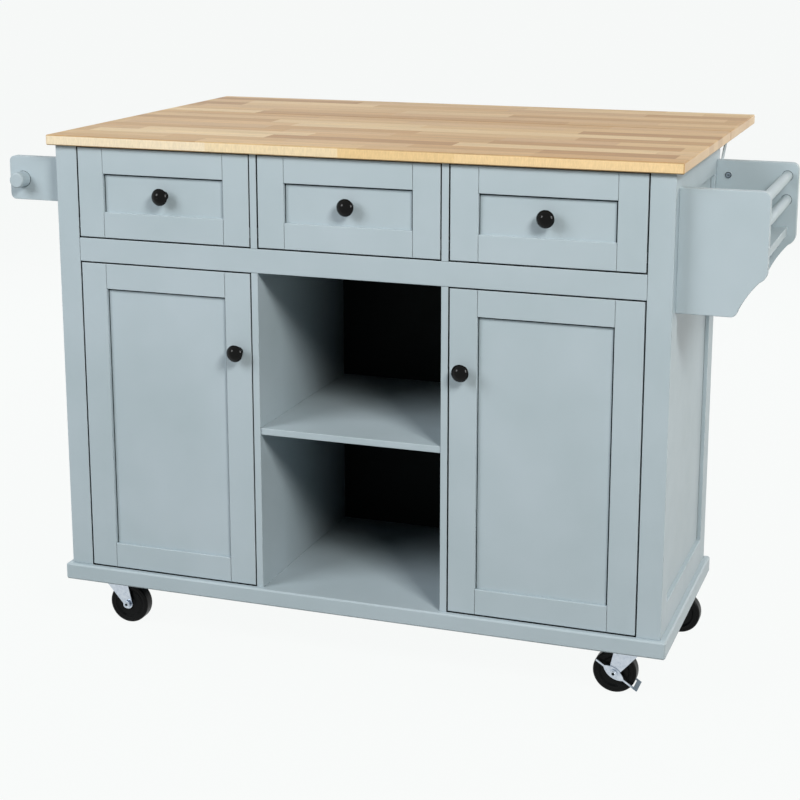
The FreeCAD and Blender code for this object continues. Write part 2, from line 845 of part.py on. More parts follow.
def make_braces():
    """Folding steel braces under the leaf: brackets, and two links on each side."""
    wall_y = at.back + s.brace_stand_off
    wall_z = at.hinge_z - s.brace_arm
    leaf_y = at.hinge_y + s.brace_arm
    leaf_z = at.hinge_z - s.brace_eye_drop
    across = leaf_y - wall_y
    up = leaf_z - wall_z
    long = root(across * across + up * up)
    along = (across / long, up / long)
    place("brace_link_long", long / 2)
    wall_brackets = []
    leaf_brackets = []
    lower = []
    upper = []
    for wing, sign in WINGS:
        x = at.middle + sign * (s.body_wide / 2 - s.post_wide / 2)
        lower.append(make_link(wing + "_lower_link", x, sign, (wall_y, wall_z), along, LEFT_TURN, 0))
        upper.append(make_link(wing + "_upper_link", x, sign, (leaf_y, leaf_z), along, RIGHT_TURN,
                               s.brace_sheet + s.brace_link_gap))
        wall_brackets.append(make_wall_bracket(wing, x, sign, wall_y, wall_z))
        leaf_brackets.append(make_leaf_bracket(wing, x, sign, leaf_y, leaf_z))
    group("brace_wall_brackets", wall_brackets)
    group("brace_leaf_brackets", leaf_brackets)
    group("brace_lower_links", lower)
    group("brace_upper_links", upper)


def slab(sign, start, thick):
    """The low face of a slab that starts at a distance to one side."""
    return start if sign > 0 else -(start + thick)


def make_link(name, x, sign, pivot, along, way, start):
    """A flat link from its pivot to the elbow, with a round head at the elbow."""
    half = s.brace_half
    long = at.brace_link_long
    end = (along[0] * long * way, along[1] * long * way)
    side = (-half * along[1], half * along[0])
    body = new_body(name)
    first = slab(sign, start, s.brace_sheet)
    pad(body, "YZ_Plane", [
        arc((-side[0], -side[1]), (0, 0), way), (end[0] - side[0], end[1] - side[1]),
        arc((end[0] + side[0], end[1] + side[1]), end, way), side],
        s.brace_sheet, first, [(0, 0, s.brace_pin_radius + s.run_fit)])
    head = start + s.brace_sheet if as_size(start).value > 0 else -s.brace_rivet_high
    pad(body, "YZ_Plane", (), s.brace_rivet_high, slab(sign, as_size(head), s.brace_rivet_high),
        [(*end, s.brace_rivet_radius)])
    put(body, x, *pivot)
    return body


def make_wall_bracket(wing, x, sign, wall_y, wall_z):
    """A plate on the post's back with an ear and a pin for the lower link."""
    half = s.brace_half
    reach = at.back - wall_y
    outer = -(s.brace_sheet + s.rest_gap)
    body = new_body(wing + "_wall_bracket")
    pad(body, "YZ_Plane", [
        (reach, -half), (0, -half), arc((0, half), (0, 0), LEFT_TURN), (reach, half)],
        s.brace_sheet, slab(sign, outer, s.brace_sheet))
    wide = s.brace_plate_wide
    plate = rectangle(reach, reach + s.brace_sheet, -s.brace_plate_long / 2,
                      s.brace_plate_long / 2)
    pad(body, "YZ_Plane", plate, wide, slab(sign, outer + s.brace_sheet - wide, wide))
    pin = s.brace_sheet * 2 + s.rest_gap
    pad(body, "YZ_Plane", (), pin, slab(sign, outer, pin), [(0, 0, s.brace_pin_radius)])
    put(body, x, wall_y, wall_z)
    return body


def make_leaf_bracket(wing, x, sign, leaf_y, leaf_z):
    """A plate under the leaf with an ear and a pin for the upper link."""
    half = s.brace_half
    reach = at.top_under - leaf_z
    link = s.brace_sheet + s.brace_link_gap
    outer = link + s.brace_sheet + s.rest_gap
    body = new_body(wing + "_leaf_bracket")
    pad(body, "YZ_Plane", [
        (half, reach), (-half, reach), (-half, 0), arc((half, 0), (0, 0), LEFT_TURN)],
        s.brace_sheet, slab(sign, outer, s.brace_sheet))
    wide = s.brace_plate_wide
    plate = rectangle(-s.brace_plate_long / 2, s.brace_plate_long / 2,
                      reach - s.brace_sheet, reach)
    pad(body, "YZ_Plane", plate, wide, slab(sign, outer, wide))
    pin = s.brace_sheet * 2 + s.rest_gap
    pad(body, "YZ_Plane", (), pin, slab(sign, link, pin), [(0, 0, s.brace_pin_radius)])
    put(body, x, leaf_y, leaf_z)
    return body


def make_spice_rack():
    """Two shaped end plates on the right side, with a shelf and two rails between them."""
    wide = s.rack_wide
    high = s.rack_high
    corner = s.rack_corner
    front = at.front + s.rack_front_inset
    back = at.back - s.rack_back_inset - s.rack_plate_thick
    plates = []
    for name, y in (("rack_front_plate", front), ("rack_back_plate", back)):
        body = new_body(name)
        pad(body, "XZ_Plane", rack_outline(wide, high, corner), s.rack_plate_thick)
        break_edges(body, s.edge_break)
        put(body, at.body_right, y, s.rack_bottom)
        plates.append(body)
    group("rack_plates", plates)
    y = (front + s.rack_plate_thick, back)
    x = span(at.body_right, s.rack_shelf_wide)
    keep(board("rack_shelf", x, y, span(s.rack_bottom + s.rack_shelf_rise, s.rack_shelf_thick)))
    rods = []
    for rise in (s.rack_dowel_low, s.rack_dowel_high):
        rod = new_body("rack_dowel")
        pad(rod, "XZ_Plane", (), y[1] - y[0], 0, [(0, 0, s.rack_dowel_radius)])
        put(rod, at.body_right + s.rack_dowel_reach, y[0], s.rack_bottom + rise)
        rods.append(rod)
    group("rack_dowels", rods)
    cams = []
    for face, way in ((y[0], LEFT_TURN), (y[1], RIGHT_TURN)):
        for rise in (s.cam_low, s.cam_high):
            cams.append(make_cam(face, way, rise))
    group("rack_cams", cams)


def rack_outline(wide, high, corner):
    """An end plate: round top corner, straight edge, hollow sweep in to a narrow foot."""
    shoulder = (wide, s.rack_shoulder_rise)
    top = (s.rack_hollow_reach, s.rack_hollow_top)
    toe = (s.rack_hollow_foot_reach, s.rack_hollow_foot_rise)
    foot = (s.rack_foot_reach, 0)
    return [
        (0, 0), foot,
        arc(toe, *round_centre(foot, toe, s.rack_foot_radius, LEFT_TURN)),
        arc(top, *round_centre(toe, top, s.rack_hollow_radius, RIGHT_TURN)),
        arc(shoulder, *round_centre(top, shoulder, s.rack_shoulder_radius, LEFT_TURN)),
        (wide, high - corner),
        arc((wide - corner, high), (wide - corner, high - corner), LEFT_TURN), (0, high)]


def round_centre(begin, end, radius, turn):
    """The centre and turn of a short arc of a given radius between two points."""
    across = as_size(end[0]) - begin[0]
    up = as_size(end[1]) - begin[1]
    chord = root(across * across + up * up)
    rise = root(radius * radius - chord * chord / 4)
    middle = ((as_size(begin[0]) + end[0]) / 2, (as_size(begin[1]) + end[1]) / 2)
    shift = rise * turn / chord
    return (middle[0] - up * shift, middle[1] + across * shift), turn


def make_cam(face, way, rise):
    """A cam cover on the inner face of an end plate, with a cross slot."""
    body = new_body("rack_cam")
    low = 0 if way == LEFT_TURN else -s.cam_thick
    pad(body, "XZ_Plane", (), s.cam_thick, low, [(0, 0, s.cam_radius)])
    cut = s.cam_thick - s.cam_slot_deep if way == LEFT_TURN else -s.cam_thick
    long = s.cam_slot_long / 2
    thin = s.cam_slot_wide / 2
    cross = [(-long, -thin), (-thin, -thin), (-thin, -long), (thin, -long), (thin, -thin),
             (long, -thin), (long, thin), (thin, thin), (thin, long), (-thin, long),
             (-thin, thin), (-long, thin)]
    pocket(body, "XZ_Plane", cross, s.cam_slot_deep, cut)
    put(body, at.body_right + s.cam_reach, face, s.rack_bottom + rise)
    return body


def make_towel_bar():
    """Two end plates on the left side with a long rod through both."""
    reach = s.towel_reach
    high = s.towel_plate_high
    corner = s.towel_corner
    profile = [(0, 0), (0, high), (corner - reach, high),
               arc((-reach, high - corner), (corner - reach, high - corner), LEFT_TURN),
               (-reach, corner), arc((corner - reach, 0), (corner - reach, corner), LEFT_TURN)]
    hole = [(-s.towel_rod_reach, s.towel_rod_rise, s.towel_rod_radius + s.run_fit)]
    plates = []
    starts = (at.front + s.towel_plate_inset,
              at.back - s.towel_plate_inset - s.towel_plate_thick)
    for name, y in zip(("towel_front_plate", "towel_back_plate"), starts):
        body = new_body(name)
        pad(body, "XZ_Plane", profile, s.towel_plate_thick, 0, hole)
        break_edges(body, s.edge_break)
        put(body, at.body_left, y, s.towel_plate_bottom)
        plates.append(body)
    group("towel_plates", plates)
    start = starts[0] - s.towel_rod_proud
    end = starts[1] + s.towel_plate_thick + s.towel_rod_proud
    rod = new_body("towel_rod")
    pad(rod, "XZ_Plane", (), end - start, 0, [(0, 0, s.towel_rod_radius)])
    break_edges(rod, s.towel_rod_edge)
    put(rod, at.body_left - s.towel_rod_reach, start, s.towel_plate_bottom + s.towel_rod_rise)
    keep(rod)


def caster_place(side, row):
    """The upright axis of a caster."""
    x = at.middle + side * (s.body_wide / 2 + s.base_over - s.caster_inset_x)
    front = at.front - s.base_over + s.caster_inset_y
    back = at.back + s.base_over - s.caster_inset_y
    return x, front if row < 0 else back


def make_casters():
    """Four swivel casters under the base, and a brake pedal on two of them."""
    plates = []
    for name, side, row, turn in CASTERS:
        x, y = caster_place(side, row)
        plates.append(make_caster_plate(x, y))
        make_fork(name, x, y, turn)
        make_wheel(name, x, y, turn)
        if name in BRAKED:
            make_pedal(name, x, y, turn)
    group("caster_plates", plates)


def make_caster_plate(x, y):
    """A screwed plate with its ball race and the kingpin that the fork hangs on."""
    half = s.caster_plate_half
    spot = half - s.caster_screw_inset
    under = s.base_high - s.caster_plate_thick
    body = new_body("caster_plate")
    holes = [(i * spot, j * spot, s.caster_screw_radius) for i in (-1, 1) for j in (-1, 1)]
    pad(body, "XY_Plane", rectangle(-half, half, -half, half), s.caster_plate_thick, under, holes)
    pad(body, "XY_Plane", (), s.race_high, under - s.race_high, [(0, 0, s.race_radius)])
    foot = at.fork_top - s.fork_top_thick - s.rest_gap - s.kingpin_head_high
    pad(body, "XY_Plane", (), under - foot, foot, [(0, 0, s.kingpin_radius)])
    pad(body, "XY_Plane", (), s.kingpin_head_high, foot, [(0, 0, s.kingpin_head_radius)])
    put(body, x, y, 0)
    return body


def make_fork(name, x, y, turn):
    """A pressed fork: a round top, two tapering legs and the axle bolt across them."""
    low = at.fork_top - s.fork_top_thick
    lead = -s.fork_lead_long
    rear = s.fork_trail_long
    boss = s.fork_boss_radius
    inner = s.wheel_half + s.fork_gap
    outer = at.fork_out
    axle = s.wheel_radius
    leg = [(lead, at.fork_top), (lead, low),
           (s.trail - boss, axle), arc((s.trail + boss, axle), (s.trail, axle), LEFT_TURN),
           (rear, low), (rear, at.fork_top)]
    body = new_body("caster_fork_" + name)
    pad(body, "XY_Plane", rectangle(lead, rear, -outer, outer), s.fork_top_thick, low,
        [(0, 0, s.kingpin_radius + s.run_fit)])
    pad(body, "XZ_Plane", leg, s.fork_sheet, inner)
    pad(body, "XZ_Plane", leg, s.fork_sheet, -outer)
    end = outer + s.axle_nut_gap + s.pedal_sheet + s.axle_nut_gap
    pad(body, "XZ_Plane", (), end * 2, -end, [(s.trail, axle, s.axle_radius)])
    for start in (end, -(end + s.axle_head_high)):
        pad(body, "XZ_Plane", (), s.axle_head_high, start, [(s.trail, axle, s.axle_head_radius)])
    put(body, x, y, 0, turn)
    keep(body)


def make_wheel(name, x, y, turn):
    """A solid wheel with round shoulders and a dished web, bored for its axle."""
    radius = s.wheel_radius
    half = s.wheel_half
    round_off = s.wheel_shoulder
    bore = s.axle_radius + s.run_fit
    web = s.wheel_web_radius
    deep = half - s.wheel_web_deep
    hub = s.fork_boss_radius
    profile = [
        (bore, -half), (hub, -half), (hub + s.wheel_web_deep, -deep),
        (web, -deep), (web + s.wheel_web_deep, -half), (radius - round_off, -half),
        arc((radius, round_off - half), (radius - round_off, round_off - half), LEFT_TURN),
        (radius, half - round_off),
        arc((radius - round_off, half), (radius - round_off, half - round_off), LEFT_TURN),
        (web + s.wheel_web_deep, half), (web, deep), (hub + s.wheel_web_deep, deep),
        (hub, half), (bore, half)]
    body = new_body("caster_wheel_" + name)
    turned(body, "XY_Plane", profile, "V_Axis")
    way = -1 if turn else 1
    put(body, x + way * s.trail, y, radius)
    keep(body)


def make_pedal(name, x, y, turn):
    """A brake lever on the axle: a leaf-shaped cheek on each side, and a foot bar joining them."""
    cheek = at.fork_out + s.axle_nut_gap
    outer = cheek + s.pedal_sheet
    lean = (-cosine(s.pedal_angle), -sine(s.pedal_angle))
    thin = s.pedal_half_thick
    swell = s.pedal_boss_half - thin
    half = s.pedal_boss_long / 2
    middle = s.pedal_boss_half - (half * half + swell * swell) / (swell * 2)
    tip = s.pedal_tip_outer
    inner = s.pedal_inner
    foot = s.pedal_outer

    def spot(reach, off):
        return (lean[0] * reach - lean[1] * off, lean[1] * reach + lean[0] * off)

    lever = [spot(-tip, -thin), spot(-half, -thin),
             arc(spot(half, -thin), spot(0, -middle), LEFT_TURN),
             spot(foot, -thin), spot(foot, thin), spot(half, thin),
             arc(spot(-half, thin), spot(0, middle), LEFT_TURN), spot(-tip, thin)]
    bar = [spot(inner, -thin), spot(foot, -thin), spot(foot, thin), spot(inner, thin)]
    hole = [(0, 0, s.axle_radius + s.run_fit)]
    body = new_body("brake_pedal_" + name)
    pad(body, "XZ_Plane", bar, outer * 2, -outer)
    pad(body, "XZ_Plane", lever, s.pedal_sheet, cheek, hole)
    pad(body, "XZ_Plane", lever, s.pedal_sheet, -outer, hole)
    way = -1 if turn else 1
    put(body, x + way * s.trail, y, s.wheel_radius, turn)
    keep(body)


def check_and_write():
    """Stop on any failed feature or bad shape, then write one file for each sub-part."""
    doc.recompute()
    for thing in doc.Objects:
        if "Invalid" in thing.State or "Error" in thing.State:
            raise RuntimeError("%s (%s) failed: %s" % (thing.Label, thing.Name, thing.State))
        if thing.TypeId == "PartDesign::Pocket":
            before = thing.BaseFeature.Shape.Volume
            if thing.Shape.Volume >= before:
                raise RuntimeError("%s cuts nothing" % thing.Name)
    os.makedirs("parts", exist_ok=True)
    for thing in parts:
        if thing.Shape.isNull() or not thing.Shape.isValid():
            raise RuntimeError("%s has a bad shape" % thing.Label)
        thing.Shape.exportStep("parts/%s.step" % thing.Label)
        print(thing.Label, len(thing.Shape.Solids), "solids, %.0f mm3" % thing.Shape.Volume)
    print(len(parts), "sub-parts")


make_worktop()
make_base()
make_side_frames()
make_dividers()
make_rails_and_back()
make_shelves()
make_drawers()
make_runners()
make_doors()
make_leaf_hinges()
make_braces()
make_spice_rack()
make_towel_bar()
make_casters()
check_and_write()
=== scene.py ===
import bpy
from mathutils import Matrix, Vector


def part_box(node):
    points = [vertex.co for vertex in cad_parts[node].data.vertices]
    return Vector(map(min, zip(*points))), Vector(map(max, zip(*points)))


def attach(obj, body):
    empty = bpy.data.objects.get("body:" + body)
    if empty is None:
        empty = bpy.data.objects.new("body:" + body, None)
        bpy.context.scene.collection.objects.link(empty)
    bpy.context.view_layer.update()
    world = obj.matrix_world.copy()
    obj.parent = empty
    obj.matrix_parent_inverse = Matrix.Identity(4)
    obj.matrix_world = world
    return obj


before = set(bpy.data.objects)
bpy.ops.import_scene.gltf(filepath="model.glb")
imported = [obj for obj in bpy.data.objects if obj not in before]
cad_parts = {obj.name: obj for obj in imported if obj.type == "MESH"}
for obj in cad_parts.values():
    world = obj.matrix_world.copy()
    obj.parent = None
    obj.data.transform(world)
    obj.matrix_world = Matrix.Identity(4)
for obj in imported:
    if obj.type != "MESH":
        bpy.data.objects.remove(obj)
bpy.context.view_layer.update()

import math

import bmesh
import bpy
from mathutils import Matrix, Vector


# The carcass: base board, posts, side frames, dividers, rails and shelves. Fibreboard panels and
# rubberwood rails, glued and dowelled, then sprayed with a grey-blue satin lacquer.

def linear(colour):
    """An sRGB hex colour in the linear values that a shader takes."""
    parts = [int(colour[i:i + 2], 16) / 255 for i in (1, 3, 5)]
    return [p / 12.92 if p <= 0.04045 else ((p + 0.055) / 1.055) ** 2.4 for p in parts] + [1]


def spaced(size):
    """The scale of a pattern whose features lie this many mm apart."""
    return 1000 / size


def add(tree, kind, inputs=None, **settings):
    """Adds one node. Settings are its properties; inputs are values, or sockets to link from."""
    made = tree.nodes.new(kind)
    for name, value in settings.items():
        setattr(made, name, value)
    for name, value in (inputs or {}).items():
        if isinstance(value, bpy.types.NodeSocket):
            tree.links.new(value, made.inputs[name])
        else:
            made.inputs[name].default_value = value
    return made


def finish_named(name):
    """A new material with its node tree, its shader and the place coordinates in metres."""
    made = bpy.data.materials.new(name)
    made.use_nodes = True
    tree = made.node_tree
    place = tree.nodes.new("ShaderNodeTexCoord").outputs["Object"]
    return made, tree, tree.nodes["Principled BSDF"], place


def colour_steps(ramp, steps):
    """Sets a colour ramp to these places and hex colours."""
    stops = ramp.color_ramp.elements
    stops.remove(stops[1])
    stops[0].position, stops[0].color = steps[0][0], linear(steps[0][1])
    for at, colour in steps[1:]:
        stops.new(at).color = linear(colour)


def set_shader(tree, shader, links, **values):
    """Links sockets to a shader by name, and sets its plain values (spaces as underscores)."""
    for name, socket in links.items():
        tree.links.new(socket, shader.inputs[name])
    for name, value in values.items():
        shader.inputs[name.replace("_", " ")].default_value = value


def coat_nodes(finish, *names):
    """Gives a finish to whole pieces of the frame."""
    for name in names:
        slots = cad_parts[name].data.materials
        slots.clear()
        slots.append(finish)


# Sprayed satin lacquer: an even grey-blue with a soft sheen. The spray leaves an orange peel
# about 3 mm across and barely deep. Every edge is painted paler, a painted highlight along it.
satin_lacquer, tree, shader, place = finish_named("satin_lacquer_paint")
cloud = add(tree, "ShaderNodeTexNoise", {"Vector": place, "Scale": spaced(180), "Detail": 3})
tint = add(tree, "ShaderNodeValToRGB", {"Fac": cloud.outputs["Fac"]})
colour_steps(tint, [(0.3, "#A8B6BC"), (0.7, "#B0BDC4")])
surface = add(tree, "ShaderNodeNewGeometry")
rounded = add(tree, "ShaderNodeBevel", {"Radius": 0.0012}, samples=4)
match = add(tree, "ShaderNodeVectorMath",
            {0: rounded.outputs[0], 1: surface.outputs["True Normal"]}, operation="DOT_PRODUCT")
# Painted highlight: the colour turns paler where the rounded normal leans away from the face.
edge = add(tree, "ShaderNodeMapRange", {"Value": match.outputs["Value"], "From Min": 1.0,
                                        "From Max": 0.86, "To Min": 0.0, "To Max": 0.5})
coat = add(tree, "ShaderNodeMixRGB", {"Fac": edge.outputs["Result"],
                                      "Color1": tint.outputs["Color"],
                                      "Color2": linear("#C3CED3")})

# Painted shade: the coat turns darker, towards a charcoal, the deeper it lies in the open bay.
# The bay is what lies between the dividers' inner faces, from below its floor to the long rail.
MID_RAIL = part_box("mid_rail")
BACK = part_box("back_panel")
LEFT_DIVIDER = (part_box("dividers")[0].x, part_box("centre_shelf")[0].x)
RIGHT_DIVIDER = (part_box("centre_shelf")[1].x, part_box("dividers")[1].x)
INTO_WALL = 0.0007
INTO_BACK = 0.0003
BEFORE_MOUTH = -0.5
BELOW_FLOOR = 0.1
BAY = {"X": (LEFT_DIVIDER[1] - INTO_WALL, RIGHT_DIVIDER[0] + INTO_WALL),
       "Y": (BEFORE_MOUTH, BACK[0].y + INTO_BACK), "Z": (BELOW_FLOOR, MID_RAIL[1].z)}
SHADE_FROM, SHADE_TO, DARKEST_SHADE = -0.26, 0.06, 0.85
axes = add(tree, "ShaderNodeSeparateXYZ", {"Vector": place})
deep = add(tree, "ShaderNodeMapRange", {"Value": axes.outputs["Y"], "From Min": SHADE_FROM,
                                        "From Max": SHADE_TO, "To Min": 0.0,
                                        "To Max": DARKEST_SHADE})
painted_bay_shade = deep.outputs["Result"]
for axis, (low, high) in BAY.items():
    within = add(tree, "ShaderNodeMath", {0: axes.outputs[axis], 1: (low + high) / 2,
                                          2: (high - low) / 2}, operation="COMPARE")
    painted_bay_shade = add(tree, "ShaderNodeMath", {0: painted_bay_shade, 1: within.outputs[0]},
               operation="MULTIPLY").outputs[0]
# Painted shade darkens the coat towards the back of the bay.
coat = add(tree, "ShaderNodeMixRGB", {"Fac": painted_bay_shade, "Color1": coat.outputs["Color"],
                                      "Color2": linear("#20282B")})
sheen = add(tree, "ShaderNodeTexNoise", {"Vector": place, "Scale": spaced(30), "Detail": 2})
dull = add(tree, "ShaderNodeMapRange", {"Value": sheen.outputs["Fac"], "To Min": 0.4,
                                        "To Max": 0.54})
peel = add(tree, "ShaderNodeTexNoise", {"Vector": place, "Scale": spaced(3), "Detail": 1})
skin = add(tree, "ShaderNodeBump", {"Height": peel.outputs["Fac"], "Strength": 0.25,
                                    "Distance": 0.0001, "Normal": rounded.outputs[0]})
set_shader(tree, shader, {"Base Color": coat.outputs["Color"], "Roughness": dull.outputs["Result"],
                          "Normal": skin.outputs["Normal"]}, IOR=1.5, Specular_IOR_Level=0.35)
coat_nodes(satin_lacquer, "base_board", "corner_posts", "side_rails", "side_panels", "dividers",
           "mid_rail", "top_stretchers", "centre_shelf", "cupboard_shelves")

# A dark colour for the fine joints between parts, and for painted shade: dark lines, rings and
# discs drawn where only shade would show, in gaps, holes and slots.
joint_and_painted_shade, tree, shader, place = finish_named("dark_joint_and_painted_shade")
fuzz = add(tree, "ShaderNodeTexNoise", {"Vector": place, "Scale": spaced(2), "Detail": 2})
tint = add(tree, "ShaderNodeValToRGB", {"Fac": fuzz.outputs["Fac"]})
colour_steps(tint, [(0.3, "#11181B"), (0.7, "#1B2427")])
set_shader(tree, shader, {"Base Color": tint.outputs["Color"]}, Roughness=0.9,
           Specular_IOR_Level=0.1)


def strip(shape, low, high, soft=0.25):
    """Adds a bar between two corners, its edges rounded by a part of its thinnest side."""
    low, high = Vector(low), Vector(high)
    size = high - low
    place = Matrix.Translation((low + high) / 2) @ Matrix.Diagonal((*size, 1))
    made = bmesh.ops.create_cube(shape, size=1, matrix=place)["verts"]
    edges = {edge for corner in made for edge in corner.link_edges}
    bmesh.ops.bevel(shape, geom=list(edges), offset=min(size) * soft, segments=1,
                    affect="EDGES", profile=0.5)


def new_piece(name, shape, finish, body):
    """Makes a piece of a worked shape, with its finish, fixed to a body."""
    bmesh.ops.recalc_face_normals(shape, faces=shape.faces)
    mesh = bpy.data.meshes.new(name)
    shape.to_mesh(mesh)
    shape.free()
    mesh.materials.append(finish)
    mesh.shade_smooth()
    mesh.set_sharp_from_angle(angle=math.radians(38))
    piece = bpy.data.objects.new(name, mesh)
    bpy.context.scene.collection.objects.link(piece)
    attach(piece, body)
    return piece


# The side panels stand loose in the grooves of their frames, and a line of painted shade runs round
# them.
# The joints between posts and rails show as fine lines under the paint.
PROUD = 0.0001
SIDE_PANEL_SHADE = 0.0014
JOINT_LINE = 0.0003
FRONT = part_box("corner_posts")[0].y
low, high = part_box("side_panels")
shape = bmesh.new()
for face, out in ((low.x, -1), (high.x, 1)):
    near, far = sorted((face, face + out * PROUD))
    strip(shape, (near, low.y, low.z), (far, low.y + SIDE_PANEL_SHADE, high.z))
    strip(shape, (near, high.y - SIDE_PANEL_SHADE, low.z), (far, high.y, high.z))
    strip(shape, (near, low.y, high.z - SIDE_PANEL_SHADE), (far, high.y, high.z))
new_piece("side_panel_shade_lines", shape, joint_and_painted_shade, "cabinet")

near, far = FRONT - PROUD / 2, FRONT + PROUD
half = JOINT_LINE / 2
low, high = MID_RAIL
shape = bmesh.new()
for x in (low.x, high.x):
    strip(shape, (x - half, near, low.z), (x + half, far, high.z))
for left, right in (LEFT_DIVIDER, RIGHT_DIVIDER):
    for z in (low.z, high.z):
        strip(shape, (left, near, z - half), (right, far, z + half))
new_piece("rail_joint_lines", shape, joint_and_painted_shade, "cabinet")


# The back: thin hardboard let in between the posts and screwed to the dividers and rails. It is
# painted outside with the rest, and charcoal on its face towards the open bay.

def finish_from(finish, name):
    """A copy of a finish, with its node tree, its shader and the colour that it has so far."""
    made = finish.copy()
    made.name = name
    tree = made.node_tree
    shader = tree.nodes["Principled BSDF"]
    return made, tree, shader, shader.inputs["Base Color"].links[0].from_socket


# Painted hardboard: outside it looks as the rest does, and its face turned to the front is a dull
# charcoal.
hardboard, tree, shader, outside = finish_from(satin_lacquer, "hardboard_back")
surface = add(tree, "ShaderNodeNewGeometry")
facing = add(tree, "ShaderNodeSeparateXYZ", {"Vector": surface.outputs["True Normal"]})
inside = add(tree, "ShaderNodeMath", {0: facing.outputs["Y"], 1: -0.5}, operation="LESS_THAN")
both = add(tree, "ShaderNodeMixRGB", {"Fac": inside.outputs[0], "Color1": outside,
                                      "Color2": linear("#060B0B")})
set_shader(tree, shader, {"Base Color": both.outputs["Color"]}, Specular_IOR_Level=0.06)
coat_nodes(hardboard, "back_panel")

# Bright zinc plate: pale, slightly blue, clouded steel that mirrors the room softly.
bright_zinc, tree, shader, place = finish_named("bright_zinc_plate")
spangle = add(tree, "ShaderNodeTexNoise", {"Vector": place, "Scale": spaced(6), "Detail": 4})
tint = add(tree, "ShaderNodeValToRGB", {"Fac": spangle.outputs["Fac"]})
colour_steps(tint, [(0.25, "#B4BECB"), (0.75, "#D3DAE3")])
dull = add(tree, "ShaderNodeMapRange", {"Value": spangle.outputs["Fac"], "To Min": 0.2,
                                        "To Max": 0.4})
set_shader(tree, shader, {"Base Color": tint.outputs["Color"],
                          "Roughness": dull.outputs["Result"]}, Metallic=1.0)


def turned(shape, profile, place, axis, steps=24, closed=False, cross=()):
    """Turns (radius, height) points in mm about an axis. A closed profile makes a ring. The
    points numbered in cross are drawn in to a cross, whose arms are 0.28 of the radius wide."""
    turn = Vector(axis).to_track_quat("Z", "Y")
    rings = []
    for index, (radius, high) in enumerate(profile):
        ring = []
        for step in range(steps if radius else 1):
            angle = 2 * math.pi * step / steps
            from_arm = abs((math.degrees(angle) + 45) % 90 - 45)
            reach = radius
            if index in cross and from_arm:
                reach = min(radius, 0.28 * radius / math.sin(math.radians(from_arm)))
            spot = Vector((reach * math.cos(angle), reach * math.sin(angle), high)) / 1000
            ring.append(shape.verts.new(Vector(place) + turn @ spot))
        rings.append(ring)
    for one, two in zip(rings, rings[1:] + (rings[:1] if closed else [])):
        for step in range(steps):
            after = (step + 1) % steps
            corners = [one[step % len(one)], one[after % len(one)],
                       two[after % len(two)], two[step % len(two)]]
            shape.faces.new(list(dict.fromkeys(corners)))


def screws(name, spots, axis, head_size, body, finish=bright_zinc):
    """Pan-head screws with a cross recess, their heads, a radius and a height in mm, standing on
    the given spots."""
    shape = bmesh.new()
    radius, high = head_size
    deep = high * 0.65
    head = [(0, -0.1), (radius, -0.1), (radius, high * 0.35), (radius * 0.86, high * 0.8),
            (radius * 0.62, high), (radius * 0.52, high), (radius * 0.42, high - deep),
            (0, high - deep * 1.1)]
    for spot in spots:
        turned(shape, head, spot, axis, cross=(5, 6))
    return new_piece(name, shape, finish, body)


SCREW_IN, SCREW_UP, SCREW_ROWS = 0.012, 0.015, 7
BACK_HEAD = (3.2, 1.5)
columns = (BACK[0].x + SCREW_IN, sum(LEFT_DIVIDER) / 2, sum(RIGHT_DIVIDER) / 2,
           BACK[1].x - SCREW_IN)
first, last = BACK[0].z + SCREW_UP, BACK[1].z - SCREW_UP
rows = [first + step * (last - first) / (SCREW_ROWS - 1) for step in range(SCREW_ROWS)]
screws("back_screws", [(x, BACK[1].y, z) for x in columns for z in rows], (0, 1, 0), BACK_HEAD,
       "cabinet")


# Casters: pressed steel plates and forks with a bright zinc plate, on hollow axle rivets, and a
# solid black rubber wheel in each. The plates are screwed under the base board.
CORNERS = ("front_left", "front_right", "rear_left", "rear_right")
coat_nodes(bright_zinc, "caster_plates", *["caster_fork_" + corner for corner in CORNERS])

# Moulded rubber: deep black, with a faint bloom, and matt from the fine texture of its mould.
black_rubber, tree, shader, place = finish_named("moulded_rubber")
bloom = add(tree, "ShaderNodeTexNoise", {"Vector": place, "Scale": spaced(8), "Detail": 5})
tint = add(tree, "ShaderNodeValToRGB", {"Fac": bloom.outputs["Fac"]})
colour_steps(tint, [(0.3, "#030404"), (0.7, "#090A0B")])
dull = add(tree, "ShaderNodeMapRange", {"Value": bloom.outputs["Fac"], "To Min": 0.28,
                                        "To Max": 0.42})
grain = add(tree, "ShaderNodeTexNoise", {"Vector": place, "Scale": spaced(1.2), "Detail": 2})
skin = add(tree, "ShaderNodeBump", {"Height": grain.outputs["Fac"], "Strength": 0.3,
                                    "Distance": 0.0001})
set_shader(tree, shader, {"Base Color": tint.outputs["Color"],
                          "Roughness": dull.outputs["Result"],
                          "Normal": skin.outputs["Normal"]}, IOR=1.52, Specular_IOR_Level=0.12)
coat_nodes(black_rubber, *["caster_wheel_" + corner for corner in CORNERS])

# The brake levers are of the same plate, with painted shade, a dull blue-grey, on the tread at
# their outer end. The tread lies this far out from the middle of the cart.
CART_MIDDLE, TREAD = -0.016, (0.489, 0.498)
zinc_with_painted_tab_shade, tree, shader, plain_zinc = finish_from(bright_zinc, "zinc_plate_with_painted_tab_shade")
axes = add(tree, "ShaderNodeSeparateXYZ",
           {"Vector": tree.nodes["Texture Coordinate"].outputs["Object"]})
from_middle = add(tree, "ShaderNodeMath", {0: axes.outputs["X"], 1: CART_MIDDLE},
                  operation="SUBTRACT")
out_x = add(tree, "ShaderNodeMath", {0: from_middle.outputs[0]}, operation="ABSOLUTE")
